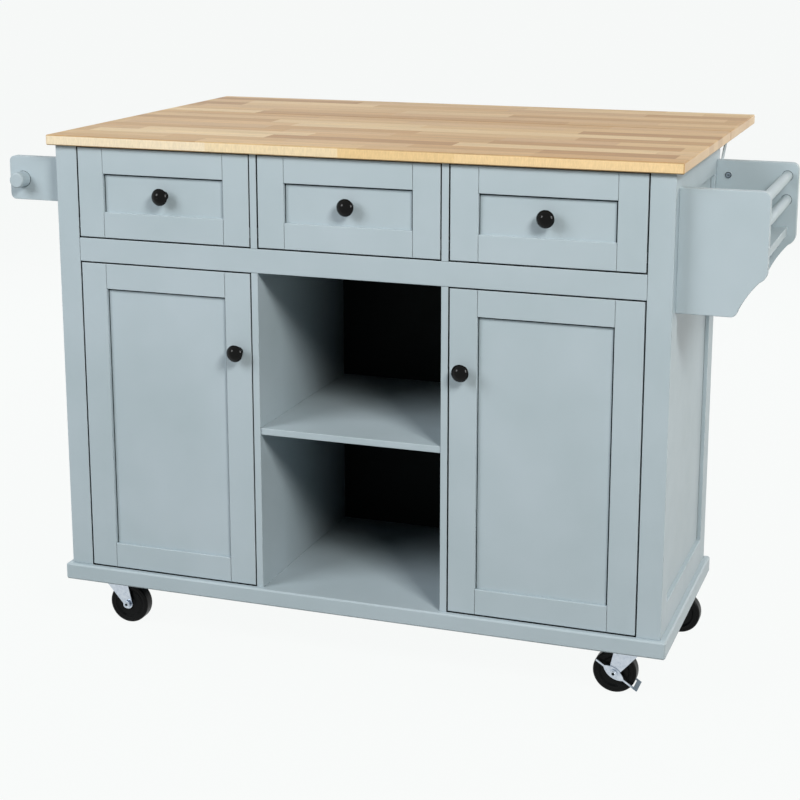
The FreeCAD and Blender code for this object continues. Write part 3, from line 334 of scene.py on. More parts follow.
# Painted shade on the tread at the outer end of each lever.
painted_tab_shade = add(tree, "ShaderNodeMapRange", {"Value": out_x.outputs[0], "From Min": TREAD[0],
                                         "From Max": TREAD[1], "To Min": 0.0, "To Max": 0.9})
tab_shade_mix = add(tree, "ShaderNodeMixRGB", {"Fac": painted_tab_shade.outputs["Result"], "Color1": plain_zinc,
                                         "Color2": linear("#5C6C78")})
set_shader(tree, shader, {"Base Color": tab_shade_mix.outputs["Color"]})
coat_nodes(zinc_with_painted_tab_shade, "brake_pedal_front_right", "brake_pedal_rear_left")

PLATE_HALF, PLATE_THICK, PLATE_SPOT = 0.030, 0.0025, 0.022
PLATE_HEAD = (5, 2.2)
low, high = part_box("caster_plates")
centres = [(x, y) for x in (low.x + PLATE_HALF, high.x - PLATE_HALF)
           for y in (low.y + PLATE_HALF, high.y - PLATE_HALF)]
screws("caster_plate_screws", [(x + i * PLATE_SPOT, y + j * PLATE_SPOT, high.z - PLATE_THICK)
                               for x, y in centres for i in (-1, 1) for j in (-1, 1)],
       (0, 0, -1), PLATE_HEAD, "cabinet")


def flat_ring(shape, place, axis, inner, outer, lift, steps=24):
    """A flat ring, or a disc where its inner radius is 0, a lift in mm out of a surface."""
    turned(shape, [(inner, -0.1), (outer, -0.1), (outer, lift), (inner, lift)], place, axis,
           steps, closed=inner > 0)


# Each axle rivet has a rolled rim round its bore, each fork leg a pressed rib, and each wheel two
# moulded beads on either side.
RIVET_RIM = [(3.2, -0.2), (4.7, -0.2), (4.7, 0.4), (4.2, 0.9), (3.4, 1.0), (2.7, 0.7), (2.5, 0.1)]
RIVET_BORE = 2.9
RIB = [(-0.038, 0.044), (-0.009, 0.044), (0.002, 0.0155), (-0.014, 0.0145)]
RIB_MIDDLE, RIB_TAPER, RIB_HIGH = Vector((-0.0148, 0.0295)), 0.86, 0.0006
FORK_LEG = 0.016
BEAD_RADII, BEAD_HALF, BEAD_STEPS = (27.5, 33.0), 0.7, 8
bead = [(BEAD_HALF * math.cos(2 * math.pi * step / BEAD_STEPS),
         BEAD_HALF * math.sin(2 * math.pi * step / BEAD_STEPS)) for step in range(BEAD_STEPS)]
for corner in CORNERS:
    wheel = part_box("caster_wheel_" + corner)
    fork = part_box("caster_fork_" + corner)
    axle = (wheel[0] + wheel[1]) / 2
    ahead = 1 if fork[0].x < wheel[0].x else -1
    rivets, bores, ribs, beads = bmesh.new(), bmesh.new(), bmesh.new(), bmesh.new()
    for fork_end, wheel_side, out in ((fork[0].y, wheel[0].y, -1), (fork[1].y, wheel[1].y, 1)):
        turned(rivets, RIVET_RIM, (axle.x, fork_end, axle.z), (0, out, 0), closed=True)
        flat_ring(bores, (axle.x, fork_end, axle.z), (0, out, 0), 0, RIVET_BORE, 0.3)
        leg = axle.y + out * FORK_LEG
        drawn = [RIB_MIDDLE + (Vector(spot) - RIB_MIDDLE) * RIB_TAPER for spot in RIB]
        foot, top = [[ribs.verts.new((axle.x + ahead * x, leg + out * lift, axle.z + z))
                      for x, z in outline] for outline, lift in ((RIB, -PROUD), (drawn, RIB_HIGH))]
        ribs.faces.new(foot)
        ribs.faces.new(top)
        for i in range(len(RIB)):
            ribs.faces.new((foot[i - 1], foot[i], top[i], top[i - 1]))
        for radius in BEAD_RADII:
            turned(beads, [(radius + along, high) for along, high in bead],
                   (axle.x, wheel_side, axle.z), (0, out, 0), steps=64, closed=True)
    new_piece("axle_rivets_" + corner, rivets, bright_zinc, "fork_" + corner)
    # The bore of each rivet is a dark disc of painted shade.
    new_piece("axle_bore_shade_" + corner, bores, joint_and_painted_shade, "fork_" + corner)
    new_piece("fork_ribs_" + corner, ribs, bright_zinc, "fork_" + corner)
    new_piece("wheel_beads_" + corner, beads, black_rubber, "wheel_" + corner)


# Cupboard fittings: sprung hinges with cups and arms of nickel-plated steel, loose shelves on
# steel pins in rows of drilled holes, and white push catches with a steel pole plate each.

# Nickel plate: a warm pale grey that mirrors the room, clouded a little by its polishing.
nickel, tree, shader, place = finish_named("nickel_plated_steel")
spangle = add(tree, "ShaderNodeTexNoise", {"Vector": place, "Scale": spaced(10), "Detail": 4})
dull = add(tree, "ShaderNodeMapRange", {"Value": spangle.outputs["Fac"], "To Min": 0.22,
                                        "To Max": 0.4})
tint = add(tree, "ShaderNodeValToRGB", {"Fac": spangle.outputs["Fac"]})
colour_steps(tint, [(0.25, "#AFADA8"), (0.75, "#C9C7C2")])
set_shader(tree, shader, {"Base Color": tint.outputs["Color"],
                          "Roughness": dull.outputs["Result"]}, Metallic=1.0)
coat_nodes(nickel, "hinge_cups_left", "hinge_cups_right", "door_hinge_arms", "shelf_pins")

# Moulded white plastic: milky, with a fine spark-eroded texture that breaks the gloss.
white_plastic, tree, shader, place = finish_named("moulded_white_plastic")
cloud = add(tree, "ShaderNodeTexNoise", {"Vector": place, "Scale": spaced(0.8), "Detail": 2})
tint = add(tree, "ShaderNodeValToRGB", {"Fac": cloud.outputs["Fac"]})
colour_steps(tint, [(0.3, "#DEDDD8"), (0.7, "#EAE9E5")])
skin = add(tree, "ShaderNodeBump", {"Height": cloud.outputs["Fac"], "Strength": 0.2,
                                    "Distance": 0.0001})
set_shader(tree, shader, {"Base Color": tint.outputs["Color"],
                          "Normal": skin.outputs["Normal"]}, Roughness=0.42)
coat_nodes(white_plastic, "door_catches")

# The holes lie 32 mm apart above and below each pin, each drawn as a dark disc of painted shade.
LEFT_POST, RIGHT_POST = MID_RAIL[0].x, MID_RAIL[1].x
HOLE_SPACING, HOLE_RADIUS, PIN_HALF = 0.032, 2.5, 0.0025
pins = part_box("shelf_pins")
shape = bmesh.new()
for wall, way in ((LEFT_POST, 1), (LEFT_DIVIDER[0], -1), (RIGHT_DIVIDER[1], 1), (RIGHT_POST, -1)):
    for y in (pins[1].y - PIN_HALF, pins[0].y + PIN_HALF):
        for step in (-4, -3, -2, -1, 1, 2, 3, 4):
            flat_ring(shape, (wall, y, (pins[0].z + pins[1].z) / 2 + step * HOLE_SPACING),
                      (way, 0, 0), 0, HOLE_RADIUS, 0.1, steps=16)
new_piece("shelf_pin_hole_shade", shape, joint_and_painted_shade, "cabinet")

# Screws of the hinges: two in each plate on the post, two in each arm and two beside each cup.
HINGE_ROWS = (0.2185, 0.6045)
PLATE_SCREWS = {"reach": 0.002, "y": -0.3185, "lift": 0.016, "head": (3.2, 1.3)}
ARM_SCREWS = {"reach": (0.009, 0.019), "y": -0.326, "head": (3, 1.0)}
CUP_SCREWS = {"reach": 0.0265, "proud": 0.0022, "lift": 0.0215, "head": (3, 1.2)}
FRONTS_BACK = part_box("door_frame_left")[1].y
for post, way, wing in ((LEFT_POST, 1, "left"), (RIGHT_POST, -1, "right")):
    screws("hinge_plate_screws_" + wing,
           [(post + way * PLATE_SCREWS["reach"], PLATE_SCREWS["y"], z + turn * PLATE_SCREWS["lift"])
            for z in HINGE_ROWS for turn in (-1, 1)],
           (way, 0, 0), PLATE_SCREWS["head"], "cabinet", nickel)
    screws("hinge_arm_screws_" + wing,
           [(post + way * reach, ARM_SCREWS["y"], z)
            for z in HINGE_ROWS for reach in ARM_SCREWS["reach"]],
           (0, 1, 0), ARM_SCREWS["head"], "cabinet", nickel)
    screws("hinge_cup_screws_" + wing,
           [(post + way * CUP_SCREWS["reach"], FRONTS_BACK + CUP_SCREWS["proud"],
             z + turn * CUP_SCREWS["lift"]) for z in HINGE_ROWS for turn in (-1, 1)],
           (0, 1, 0), CUP_SCREWS["head"], "door_" + wing, nickel)

# Each catch has two pole strips in its nose, which hold the steel of the door.
POLE_AT, POLE_WIDE, POLE_SHORT = (0.0035, 0.009), 0.0015, 0.003
POLE_NEAR, POLE_FAR = 0.0001, 0.0004
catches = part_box("door_catches")
shape = bmesh.new()
for side in (catches[0].x, RIGHT_DIVIDER[1]):
    for at in POLE_AT:
        strip(shape, (side + at, FRONTS_BACK + POLE_NEAR, catches[0].z + POLE_SHORT),
              (side + at + POLE_WIDE, FRONTS_BACK + POLE_FAR, catches[1].z - POLE_SHORT))
new_piece("catch_pole_plates", shape, nickel, "cabinet")


# Drawer runners: rolled steel channels on the posts and dividers, and bars on each drawer that
# run in them. They are powder-coated cream, and screwed on before the drawers go in.

# Powder coat: a flat pale cream, whose fine grit spreads the gloss.
cream_coat, tree, shader, place = finish_named("cream_powder_coat")
grit = add(tree, "ShaderNodeTexNoise", {"Vector": place, "Scale": spaced(1.5), "Detail": 2})
tint = add(tree, "ShaderNodeValToRGB", {"Fac": grit.outputs["Fac"]})
colour_steps(tint, [(0.3, "#D8D4C8"), (0.7, "#E4E0D6")])
skin = add(tree, "ShaderNodeBump", {"Height": grit.outputs["Fac"], "Strength": 0.3,
                                    "Distance": 0.0001})
set_shader(tree, shader, {"Base Color": tint.outputs["Color"],
                          "Normal": skin.outputs["Normal"]}, Roughness=0.45)
BAYS = ("left", "centre", "right")
coat_nodes(cream_coat, "drawer_runners", *["drawer_bars_" + bay for bay in BAYS])


# Drawers: a box of foil-faced board with a thin bottom, and a painted front of two stiles, two
# rails and a loose panel. The front is screwed to the box from inside, and so is the knob.
coat_nodes(satin_lacquer, *["drawer_front_" + bay for bay in BAYS])

# Foil: printed paper under a clear skin, pale, even and dull, with a faint lengthwise streak.
foil_board, tree, shader, place = finish_named("foil_faced_board")
stretch = add(tree, "ShaderNodeMapping", {"Vector": place,
                                          "Scale": (spaced(10), spaced(120), spaced(4))})
grain = add(tree, "ShaderNodeTexNoise", {"Vector": stretch.outputs["Vector"], "Scale": 1,
                                         "Detail": 4})
tint = add(tree, "ShaderNodeValToRGB", {"Fac": grain.outputs["Fac"]})
colour_steps(tint, [(0.3, "#D2CDC2"), (0.7, "#E0DCD3")])
set_shader(tree, shader, {"Base Color": tint.outputs["Color"]}, Roughness=0.5)
coat_nodes(foil_board, *["drawer_box_" + bay for bay in BAYS])

# Painted shade: a dull black bead round each opening, so that the gaps read as black lines.
painted_gap_shade, tree, shader, place = finish_named("painted_gap_shade_bead")
pile = add(tree, "ShaderNodeTexNoise", {"Vector": place, "Scale": spaced(0.6), "Detail": 2})
tint = add(tree, "ShaderNodeValToRGB", {"Fac": pile.outputs["Fac"]})
colour_steps(tint, [(0.3, "#030404"), (0.7, "#0A0B0C")])
skin = add(tree, "ShaderNodeBump", {"Height": pile.outputs["Fac"], "Strength": 0.5,
                                    "Distance": 0.0002})
set_shader(tree, shader, {"Base Color": tint.outputs["Color"],
                          "Normal": skin.outputs["Normal"]}, Roughness=0.95,
           Specular_IOR_Level=0.05)

# The frame of a front, the painted shade lines beside its panel, the joints in it, and the bead of
# painted shade behind it. The bead is slimmer at a hinge and where the drawer's bars pass.
STILE, RAIL, RECESS = 0.048, 0.045, 0.0065
PANEL_SHADE_LEFT, PANEL_SHADE_RIGHT, PANEL_SHADE_TOP = 0.0015, 0.0031, 0.0028
JOINT_SHORT = 0.001
BEAD_DEPTH, BEAD_THICK = 0.0005, 0.0010
BEAD_REACH, BEAD_AT_HINGE, BEAD_AT_BARS = 0.0021, 0.0013, 0.0011
BAR_ROOM = 0.001
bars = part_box("drawer_bars_left")
BARS_PASS = (bars[0].z - BAR_ROOM, bars[1].z + BAR_ROOM)


def front_lines(name, low, high, body):
    """The painted shade lines at three sides of a loose panel, and the joints of stiles and rails.
    """
    left, right = low.x + STILE, high.x - STILE
    under, top = low.z + RAIL, high.z - RAIL
    near, far = low.y + RECESS - PROUD, low.y + RECESS + PROUD
    inner_left, inner_right = left + PANEL_SHADE_LEFT, right - PANEL_SHADE_RIGHT
    shape = bmesh.new()
    strip(shape, (left, near, under), (inner_left, far, top))
    strip(shape, (inner_right, near, under), (right, far, top))
    strip(shape, (inner_left, near, top - PANEL_SHADE_TOP), (inner_right, far, top))
    new_piece("panel_shade_lines_" + name, shape, joint_and_painted_shade, body)
    shape = bmesh.new()
    near, far = low.y - PROUD / 2, low.y + PROUD
    for x in (left, right):
        for start, end in ((low.z + JOINT_SHORT, under), (top, high.z - JOINT_SHORT)):
            strip(shape, (x - JOINT_LINE / 2, near, start), (x + JOINT_LINE / 2, far, end))
    new_piece("joint_lines_" + name, shape, joint_and_painted_shade, body)


def opening_bead(name, low, high, left_reach, right_reach, cut=None):
    """A bead of painted shade round an opening, behind the front that closes it, cut back at a
    height.
    """
    near, far = FRONT + BEAD_DEPTH, FRONT + BEAD_DEPTH + BEAD_THICK
    inner_left, inner_right = low[0] + left_reach, high[0] - right_reach
    lengths = [(low[1], high[1], left_reach, right_reach)]
    if cut:
        lengths = [(low[1], cut[0], left_reach, right_reach),
                   (*cut, BEAD_AT_BARS, BEAD_AT_BARS),
                   (cut[1], high[1], left_reach, right_reach)]
    shape = bmesh.new()
    for start, end, left, right in lengths:
        strip(shape, (low[0], near, start), (low[0] + left, far, end))
        strip(shape, (high[0] - right, near, start), (high[0], far, end))
    strip(shape, (inner_left, near, low[1]), (inner_right, far, low[1] + BEAD_REACH))
    strip(shape, (inner_left, near, high[1] - BEAD_REACH), (inner_right, far, high[1]))
    new_piece(name, shape, painted_gap_shade, "cabinet")


WALLS = ((LEFT_POST, LEFT_DIVIDER[0]), (LEFT_DIVIDER[1], RIGHT_DIVIDER[0]),
         (RIGHT_DIVIDER[1], RIGHT_POST))
TOP_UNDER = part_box("top_board")[0].z
FRONT_BOARD, SCREW_HALF, SCREW_HEIGHTS = 0.012, 0.1, (0.785, 0.84)
FRONT_HEAD = (4, 1.8)
for bay, wall in zip(BAYS, WALLS):
    low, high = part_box("drawer_front_" + bay)
    front_lines("drawer_" + bay, low, high, "drawer_" + bay)
    opening_bead("drawer_gap_shade_" + bay, (wall[0], MID_RAIL[1].z), (wall[1], TOP_UNDER),
                 BEAD_REACH, BEAD_REACH, BARS_PASS)
    middle, knob_z = (low.x + high.x) / 2, (low.z + high.z) / 2
    box_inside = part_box("drawer_box_" + bay)[0].y + FRONT_BOARD
    screws("drawer_front_screws_" + bay,
           [(middle + x, box_inside, z) for x in (-SCREW_HALF, SCREW_HALF) for z in SCREW_HEIGHTS]
           + [(middle, box_inside, knob_z)],
           (0, 1, 0), FRONT_HEAD, "drawer_" + bay)


# Doors: framed like the drawer fronts, of painted rubberwood round a loose fibreboard panel, and
# hung on two sprung hinges each. A bead of painted shade lines each opening, and a screw holds each
# knob.
coat_nodes(satin_lacquer, "door_frame_left", "door_frame_right", "door_panel_left",
           "door_panel_right")
BASE_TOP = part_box("base_board")[1].z
KNOB_HEAD = (4.5, 2)
for wing, wall, reaches in (("left", WALLS[0], (BEAD_AT_HINGE, BEAD_REACH)),
                            ("right", WALLS[2], (BEAD_REACH, BEAD_AT_HINGE))):
    front_lines("door_" + wing, *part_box("door_frame_" + wing), "door_" + wing)
    opening_bead("door_gap_shade_" + wing, (wall[0], BASE_TOP), (wall[1], MID_RAIL[0].z), *reaches)
    low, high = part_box("door_knob_" + wing)
    screws("door_knob_screws_" + wing,
           [((low.x + high.x) / 2, FRONTS_BACK, (low.z + high.z) / 2)],
           (0, 1, 0), KNOB_HEAD, "door_" + wing)


# Knobs: zinc, cast in one piece with a foot and polished smooth under a stoved black enamel. Each
# is held by a screw through the front.

# Gloss black enamel: a flowed, even black that shows small clear reflections.
black_enamel, tree, shader, place = finish_named("gloss_black_enamel")
flow = add(tree, "ShaderNodeTexNoise", {"Vector": place, "Scale": spaced(10), "Detail": 2})
dull = add(tree, "ShaderNodeMapRange", {"Value": flow.outputs["Fac"], "To Min": 0.07,
                                        "To Max": 0.14})
tint = add(tree, "ShaderNodeValToRGB", {"Fac": flow.outputs["Fac"]})
colour_steps(tint, [(0.3, "#020202"), (0.7, "#040404")])
set_shader(tree, shader, {"Base Color": tint.outputs["Color"],
                          "Roughness": dull.outputs["Result"]},
           IOR=1.54, Specular_IOR_Level=0.13)
coat_nodes(black_enamel, "door_knob_left", "door_knob_right",
           *["drawer_knob_" + bay for bay in BAYS])


# Worktop and drop leaf: rubberwood staves 45 mm wide, finger-jointed end to end and glued edge to
# edge, sanded and sealed with a clear satin lacquer. Each stave keeps its own tone.
rubberwood, tree, shader, place = finish_named("lacquered_rubberwood")
STAVE = 0.0453
STAVE_SHORTEST, STAVE_LONGEST = 0.2, 0.36
STAVE_SEED = 4.0
CUT_APART = 0.4
TOP_LOW, TOP_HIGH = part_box("top_board")

# Each row of staves starts at its own place and has its own length of stave. The row and the
# number of the stave in it draw its tone.
axes = add(tree, "ShaderNodeSeparateXYZ", {"Vector": place})
from_front = add(tree, "ShaderNodeMath", {0: axes.outputs["Y"], 1: TOP_LOW.y},
                 operation="SUBTRACT")
across = add(tree, "ShaderNodeMath", {0: from_front.outputs[0], 1: STAVE}, operation="DIVIDE")
row = add(tree, "ShaderNodeMath", {0: across.outputs[0]}, operation="FLOOR")
row_luck = add(tree, "ShaderNodeTexWhiteNoise", {"W": row.outputs[0]}, noise_dimensions="1D")
start = add(tree, "ShaderNodeMath", {0: row_luck.outputs["Value"], 1: axes.outputs["X"]},
            operation="ADD")
length = add(tree, "ShaderNodeMapRange", {"Value": row_luck.outputs["Value"],
                                          "To Min": STAVE_SHORTEST, "To Max": STAVE_LONGEST})
along = add(tree, "ShaderNodeMath", {0: start.outputs[0], 1: length.outputs["Result"]},
            operation="DIVIDE")
number = add(tree, "ShaderNodeMath", {0: along.outputs[0]}, operation="FLOOR")
stave = add(tree, "ShaderNodeCombineXYZ", {"X": row.outputs[0], "Y": number.outputs[0],
                                           "Z": STAVE_SEED})
luck = add(tree, "ShaderNodeTexWhiteNoise", {"Vector": stave.outputs["Vector"]},
           noise_dimensions="3D")
tone = add(tree, "ShaderNodeValToRGB", {"Fac": luck.outputs["Value"]})
colour_steps(tone, [(0, "#AC8457"), (0.16, "#BE9767"), (0.34, "#CCA97A"), (0.55, "#D2B283"),
                    (0.72, "#C29D74"), (0.86, "#D8BB8E"), (1, "#DFC59A")])

# Fibres about 4 mm apart, a broad figure of 14 mm, and pores of 1 mm, drawn coarser than the real
# ones so that they show. Each stave is cut from another part of the tree.
shift = add(tree, "ShaderNodeVectorMath", {0: luck.outputs["Color"], "Scale": CUT_APART},
            operation="SCALE")
moved = add(tree, "ShaderNodeVectorMath", {0: place, 1: shift.outputs[0]}, operation="ADD")
fibres = add(tree, "ShaderNodeMapping", {"Vector": moved.outputs[0],
                                         "Scale": (spaced(110), spaced(4), spaced(4))})
grain = add(tree, "ShaderNodeTexNoise", {"Vector": fibres.outputs["Vector"], "Scale": 1,
                                         "Detail": 6, "Roughness": 0.65})
streak = add(tree, "ShaderNodeMapRange", {"Value": grain.outputs["Fac"], "From Min": 0.3,
                                          "From Max": 0.7, "To Min": 0.8, "To Max": 1.1})
broad = add(tree, "ShaderNodeMapping", {"Vector": moved.outputs[0],
                                        "Scale": (spaced(300), spaced(14), spaced(14))})
figure = add(tree, "ShaderNodeTexNoise", {"Vector": broad.outputs["Vector"], "Scale": 1,
                                          "Detail": 2})
cathedral = add(tree, "ShaderNodeMapRange", {"Value": figure.outputs["Fac"], "From Min": 0.35,
                                             "From Max": 0.65, "To Min": 0.92, "To Max": 1.05})
pore_lines = add(tree, "ShaderNodeMapping", {"Vector": moved.outputs[0],
                                             "Scale": (spaced(12), spaced(1.1), spaced(1.1))})
pores = add(tree, "ShaderNodeTexNoise", {"Vector": pore_lines.outputs["Vector"], "Scale": 1,
                                         "Detail": 1})
pore = add(tree, "ShaderNodeMapRange", {"Value": pores.outputs["Fac"], "From Min": 0.58,
                                        "From Max": 0.7, "To Min": 1, "To Max": 0.8})

# A glue line as thin as a hair runs along each stave.
in_row = add(tree, "ShaderNodeMath", {0: across.outputs[0]}, operation="FRACT")
glue = add(tree, "ShaderNodeMapRange", {"Value": in_row.outputs[0], "From Max": 0.014,
                                        "To Min": 0.86, "To Max": 1.0})
shade = streak.outputs["Result"]
for layer in (pore, cathedral, glue):
    shade = add(tree, "ShaderNodeMath", {0: shade, 1: layer.outputs["Result"]},
                operation="MULTIPLY").outputs[0]
wood = add(tree, "ShaderNodeVectorMath", {0: tone.outputs["Color"], "Scale": shade},
           operation="SCALE")

# The front edge is a strip in four lengths, sawn so that its grain shows as short upright ticks.
# Its tones are paler than the top's: partly its own colour, partly painted light on the front face.
surface = add(tree, "ShaderNodeNewGeometry")
facing = add(tree, "ShaderNodeSeparateXYZ", {"Vector": surface.outputs["True Normal"]})
on_front = add(tree, "ShaderNodeMath", {0: facing.outputs["Y"], 1: -0.75}, operation="LESS_THAN")
ticks = add(tree, "ShaderNodeMapping", {"Vector": place, "Rotation": (0, 0.4, 0),
                                        "Scale": (spaced(2.2), 1, spaced(9))})
tick = add(tree, "ShaderNodeTexNoise", {"Vector": ticks.outputs["Vector"], "Scale": 1,
                                        "Detail": 4, "Roughness": 0.7})
at = add(tree, "ShaderNodeMapRange", {"Value": axes.outputs["X"], "From Min": TOP_LOW.x,
                                      "From Max": TOP_HIGH.x})
edge_tone_and_painted_light = add(tree, "ShaderNodeValToRGB", {"Fac": at.outputs["Result"]})
colour_steps(edge_tone_and_painted_light, [(0, "#EAD9BB"), (0.27, "#E7D2AC"), (0.485, "#E2C390"),
                           (0.665, "#E8CA9A")])
edge_tone_and_painted_light.color_ramp.interpolation = "CONSTANT"
lift = add(tree, "ShaderNodeMapRange", {"Value": tick.outputs["Fac"], "From Min": 0.3,
                                        "From Max": 0.7, "To Min": 0.9, "To Max": 1.07})
edge_strip = add(tree, "ShaderNodeVectorMath", {0: edge_tone_and_painted_light.outputs["Color"],
                                                "Scale": lift.outputs["Result"]},
                 operation="SCALE")
wood = add(tree, "ShaderNodeMixRGB", {"Fac": on_front.outputs[0], "Color1": wood.outputs[0],
                                      "Color2": edge_strip.outputs[0]})

# At the ends the staves show end grain: pinkish and speckled.
side_on = add(tree, "ShaderNodeMath", {0: facing.outputs["X"]}, operation="ABSOLUTE")
on_end = add(tree, "ShaderNodeMath", {0: side_on.outputs[0], 1: 0.75}, operation="GREATER_THAN")
speck = add(tree, "ShaderNodeTexNoise", {"Vector": place, "Scale": spaced(1.2), "Detail": 2})
end_shade = add(tree, "ShaderNodeMapRange", {"Value": speck.outputs["Fac"], "From Min": 0.35,
                                             "From Max": 0.65, "To Min": 0.82, "To Max": 1.08})
end_tone = add(tree, "ShaderNodeMixRGB", {"Fac": 0.55, "Color1": tone.outputs["Color"],
                                          "Color2": linear("#E6D3B8")})
end_grain = add(tree, "ShaderNodeVectorMath", {0: end_tone.outputs["Color"],
                                               "Scale": end_shade.outputs["Result"]},
                operation="SCALE")
wood = add(tree, "ShaderNodeMixRGB", {"Fac": on_end.outputs[0], "Color1": wood.outputs["Color"],
                                      "Color2": end_grain.outputs[0]})

# The lacquer lies in the pores, and is duller where the grain is open.
dull = add(tree, "ShaderNodeMapRange", {"Value": grain.outputs["Fac"], "To Min": 0.38,
                                        "To Max": 0.52})
rounded = add(tree, "ShaderNodeBevel", {"Radius": 0.0015}, samples=4)
skin = add(tree, "ShaderNodeBump", {"Height": pore.outputs["Result"], "Strength": 0.2,
                                    "Distance": 0.0001, "Normal": rounded.outputs[0]})
set_shader(tree, shader, {"Base Color": wood.outputs["Color"], "Roughness": dull.outputs["Result"],
                          "Normal": skin.outputs["Normal"]}, IOR=1.5, Specular_IOR_Level=0.22)
coat_nodes(rubberwood, "top_board", "leaf_board")


# Leaf supports: nickel-plated butt hinges under the seam, and on each side a folding brace of
# painted steel strip, riveted at its eyes and screwed to the post and to the leaf.
coat_nodes(nickel, "leaf_hinge_fixed", "leaf_hinge_moving")
coat_nodes(satin_lacquer, "brace_wall_brackets", "brace_leaf_brackets", "brace_lower_links",
           "brace_upper_links")
HINGE_UNDER, HINGE_OUT, HINGE_SCREW, HINGE_HEAD = 0.9005, 0.429, 0.024, (3, 1.1)
FIXED_SCREWS, MOVING_SCREWS = 0.072, 0.104
for body, y, name in (("cabinet", FIXED_SCREWS, "fixed"), ("leaf", MOVING_SCREWS, "moving")):
    screws("leaf_hinge_screws_" + name,
           [(CART_MIDDLE + side * HINGE_OUT + turn * HINGE_SCREW, y, HINGE_UNDER)
            for side in (-1, 0, 1) for turn in (-1, 0, 1)],
           (0, 0, -1), HINGE_HEAD, body, nickel)

BRACE_SHEET, BRACE_SCREW, BRACE_HEAD = 0.002, 0.022, (3.4, 1.4)
WALL_SCREW_IN, LEAF_SCREW_IN = 0.0133, 0.0110
low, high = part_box("brace_wall_brackets")
middle, face = (low.z + high.z) / 2, low.y + BRACE_SHEET
screws("brace_wall_screws",
       [(x, face, middle + turn * BRACE_SCREW)
        for x in (low.x + WALL_SCREW_IN, high.x - WALL_SCREW_IN) for turn in (-1, 1)],
       (0, 1, 0), BRACE_HEAD, "cabinet", nickel)
low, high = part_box("brace_leaf_brackets")
middle, face = (low.y + high.y) / 2, high.z - BRACE_SHEET
screws("brace_leaf_screws",
       [(x, middle + turn * BRACE_SCREW, face)
        for x in (low.x + LEAF_SCREW_IN, high.x - LEAF_SCREW_IN) for turn in (-1, 1)],
       (0, 0, -1), BRACE_HEAD, "leaf", nickel)


# Spice rack: two shaped plates, a shelf and two round rails, drawn tight by zinc cams, then
# sprayed with the body. A ring of painted shade is drawn round the bare drive of each cam.
coat_nodes(satin_lacquer, "rack_plates", "rack_shelf", "rack_dowels", "rack_cams")
CAM_RADIUS, CAM_THICK = 0.0065, 0.001

# The painted rim of each cam leaves a drive with a cross slot bare. The slot is drawn as painted
# shade, standing a hair out of the drive. Radii are in mm, and the rest in metres.
DRIVE_RADIUS, BORE_RADIUS = 4.3, 5.6
SLOT_NEAR, SLOT_FAR = 0.00009, 0.0005
CROSS_SLOT = ((0.0034, 0.0006), (0.0004, 0.0020))
low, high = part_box("rack_cams")
inner_faces = ((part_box("rack_shelf")[1].y, -1), (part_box("rack_shelf")[0].y, 1))
rings, drives, slots = bmesh.new(), bmesh.new(), bmesh.new()
x = (low.x + high.x) / 2
for z in (low.z + CAM_RADIUS, high.z - CAM_RADIUS):
    for y, way in inner_faces:
        face = y + way * CAM_THICK
        flat_ring(rings, (x, face, z), (0, way, 0), DRIVE_RADIUS, BORE_RADIUS, 0.05, steps=32)
        flat_ring(drives, (x, face, z), (0, way, 0), 0, DRIVE_RADIUS, 0.04)
        near, far = sorted((face + way * SLOT_NEAR, face - way * SLOT_FAR))
        for long, wide in CROSS_SLOT:
            strip(slots, (x - long, near, z - wide), (x + long, far, z + wide))
new_piece("cam_ring_shade", rings, joint_and_painted_shade, "cabinet")
new_piece("cam_drives", drives, bright_zinc, "cabinet")
new_piece("cam_slot_shade", slots, joint_and_painted_shade, "cabinet")

# A fine ring of painted shade shows where each rail enters its plate.
DOWEL_RADIUS, DOWEL_GAP = 9.0, 0.7
low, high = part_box("rack_dowels")
rings = bmesh.new()
for z in (low.z + DOWEL_RADIUS / 1000, high.z - DOWEL_RADIUS / 1000):
    for y, way in inner_faces:
        flat_ring(rings, ((low.x + high.x) / 2, y, z), (0, way, 0), DOWEL_RADIUS,
                  DOWEL_RADIUS + DOWEL_GAP, 0.1, steps=48)
new_piece("dowel_shade_rings", rings, joint_and_painted_shade, "cabinet")


# Towel bar: a turned rod through two shaped plates, glued in and sprayed with the body. A fine
# ring of painted shade shows round it on both faces of the front plate.
coat_nodes(satin_lacquer, "towel_plates", "towel_rod")
TOWEL_PLATE, ROD_RADIUS, ROD_GAP = 0.015, 14.0, 0.6
low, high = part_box("towel_rod")
plate_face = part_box("towel_plates")[0].y
rings = bmesh.new()
for y, way in ((plate_face, -1), (plate_face + TOWEL_PLATE, 1)):
    flat_ring(rings, ((low.x + high.x) / 2, y, (low.z + high.z) / 2), (0, way, 0), ROD_RADIUS,
              ROD_RADIUS + ROD_GAP, 0.1, steps=48)
new_piece("rod_shade_rings", rings, joint_and_painted_shade, "cabinet")


# The studio: a pale floor and an even pale surround, both white to the camera and to glossy
# surfaces only, so that they add hardly any light. The floor keeps a faint shadow.
FLOOR_HALF, FLOOR_DROP, GLOW_SHARE = 30, 0.0005, 0.94
floor_mesh = bpy.data.meshes.new("studio_floor")
floor_mesh.from_pydata([(-FLOOR_HALF, -FLOOR_HALF, 0), (FLOOR_HALF, -FLOOR_HALF, 0),
                        (FLOOR_HALF, FLOOR_HALF, 0), (-FLOOR_HALF, FLOOR_HALF, 0)],
                       [], [(0, 1, 2, 3)])
floor = bpy.data.objects.new("studio_floor", floor_mesh)
bpy.context.scene.collection.objects.link(floor)
floor.location.z = -FLOOR_DROP

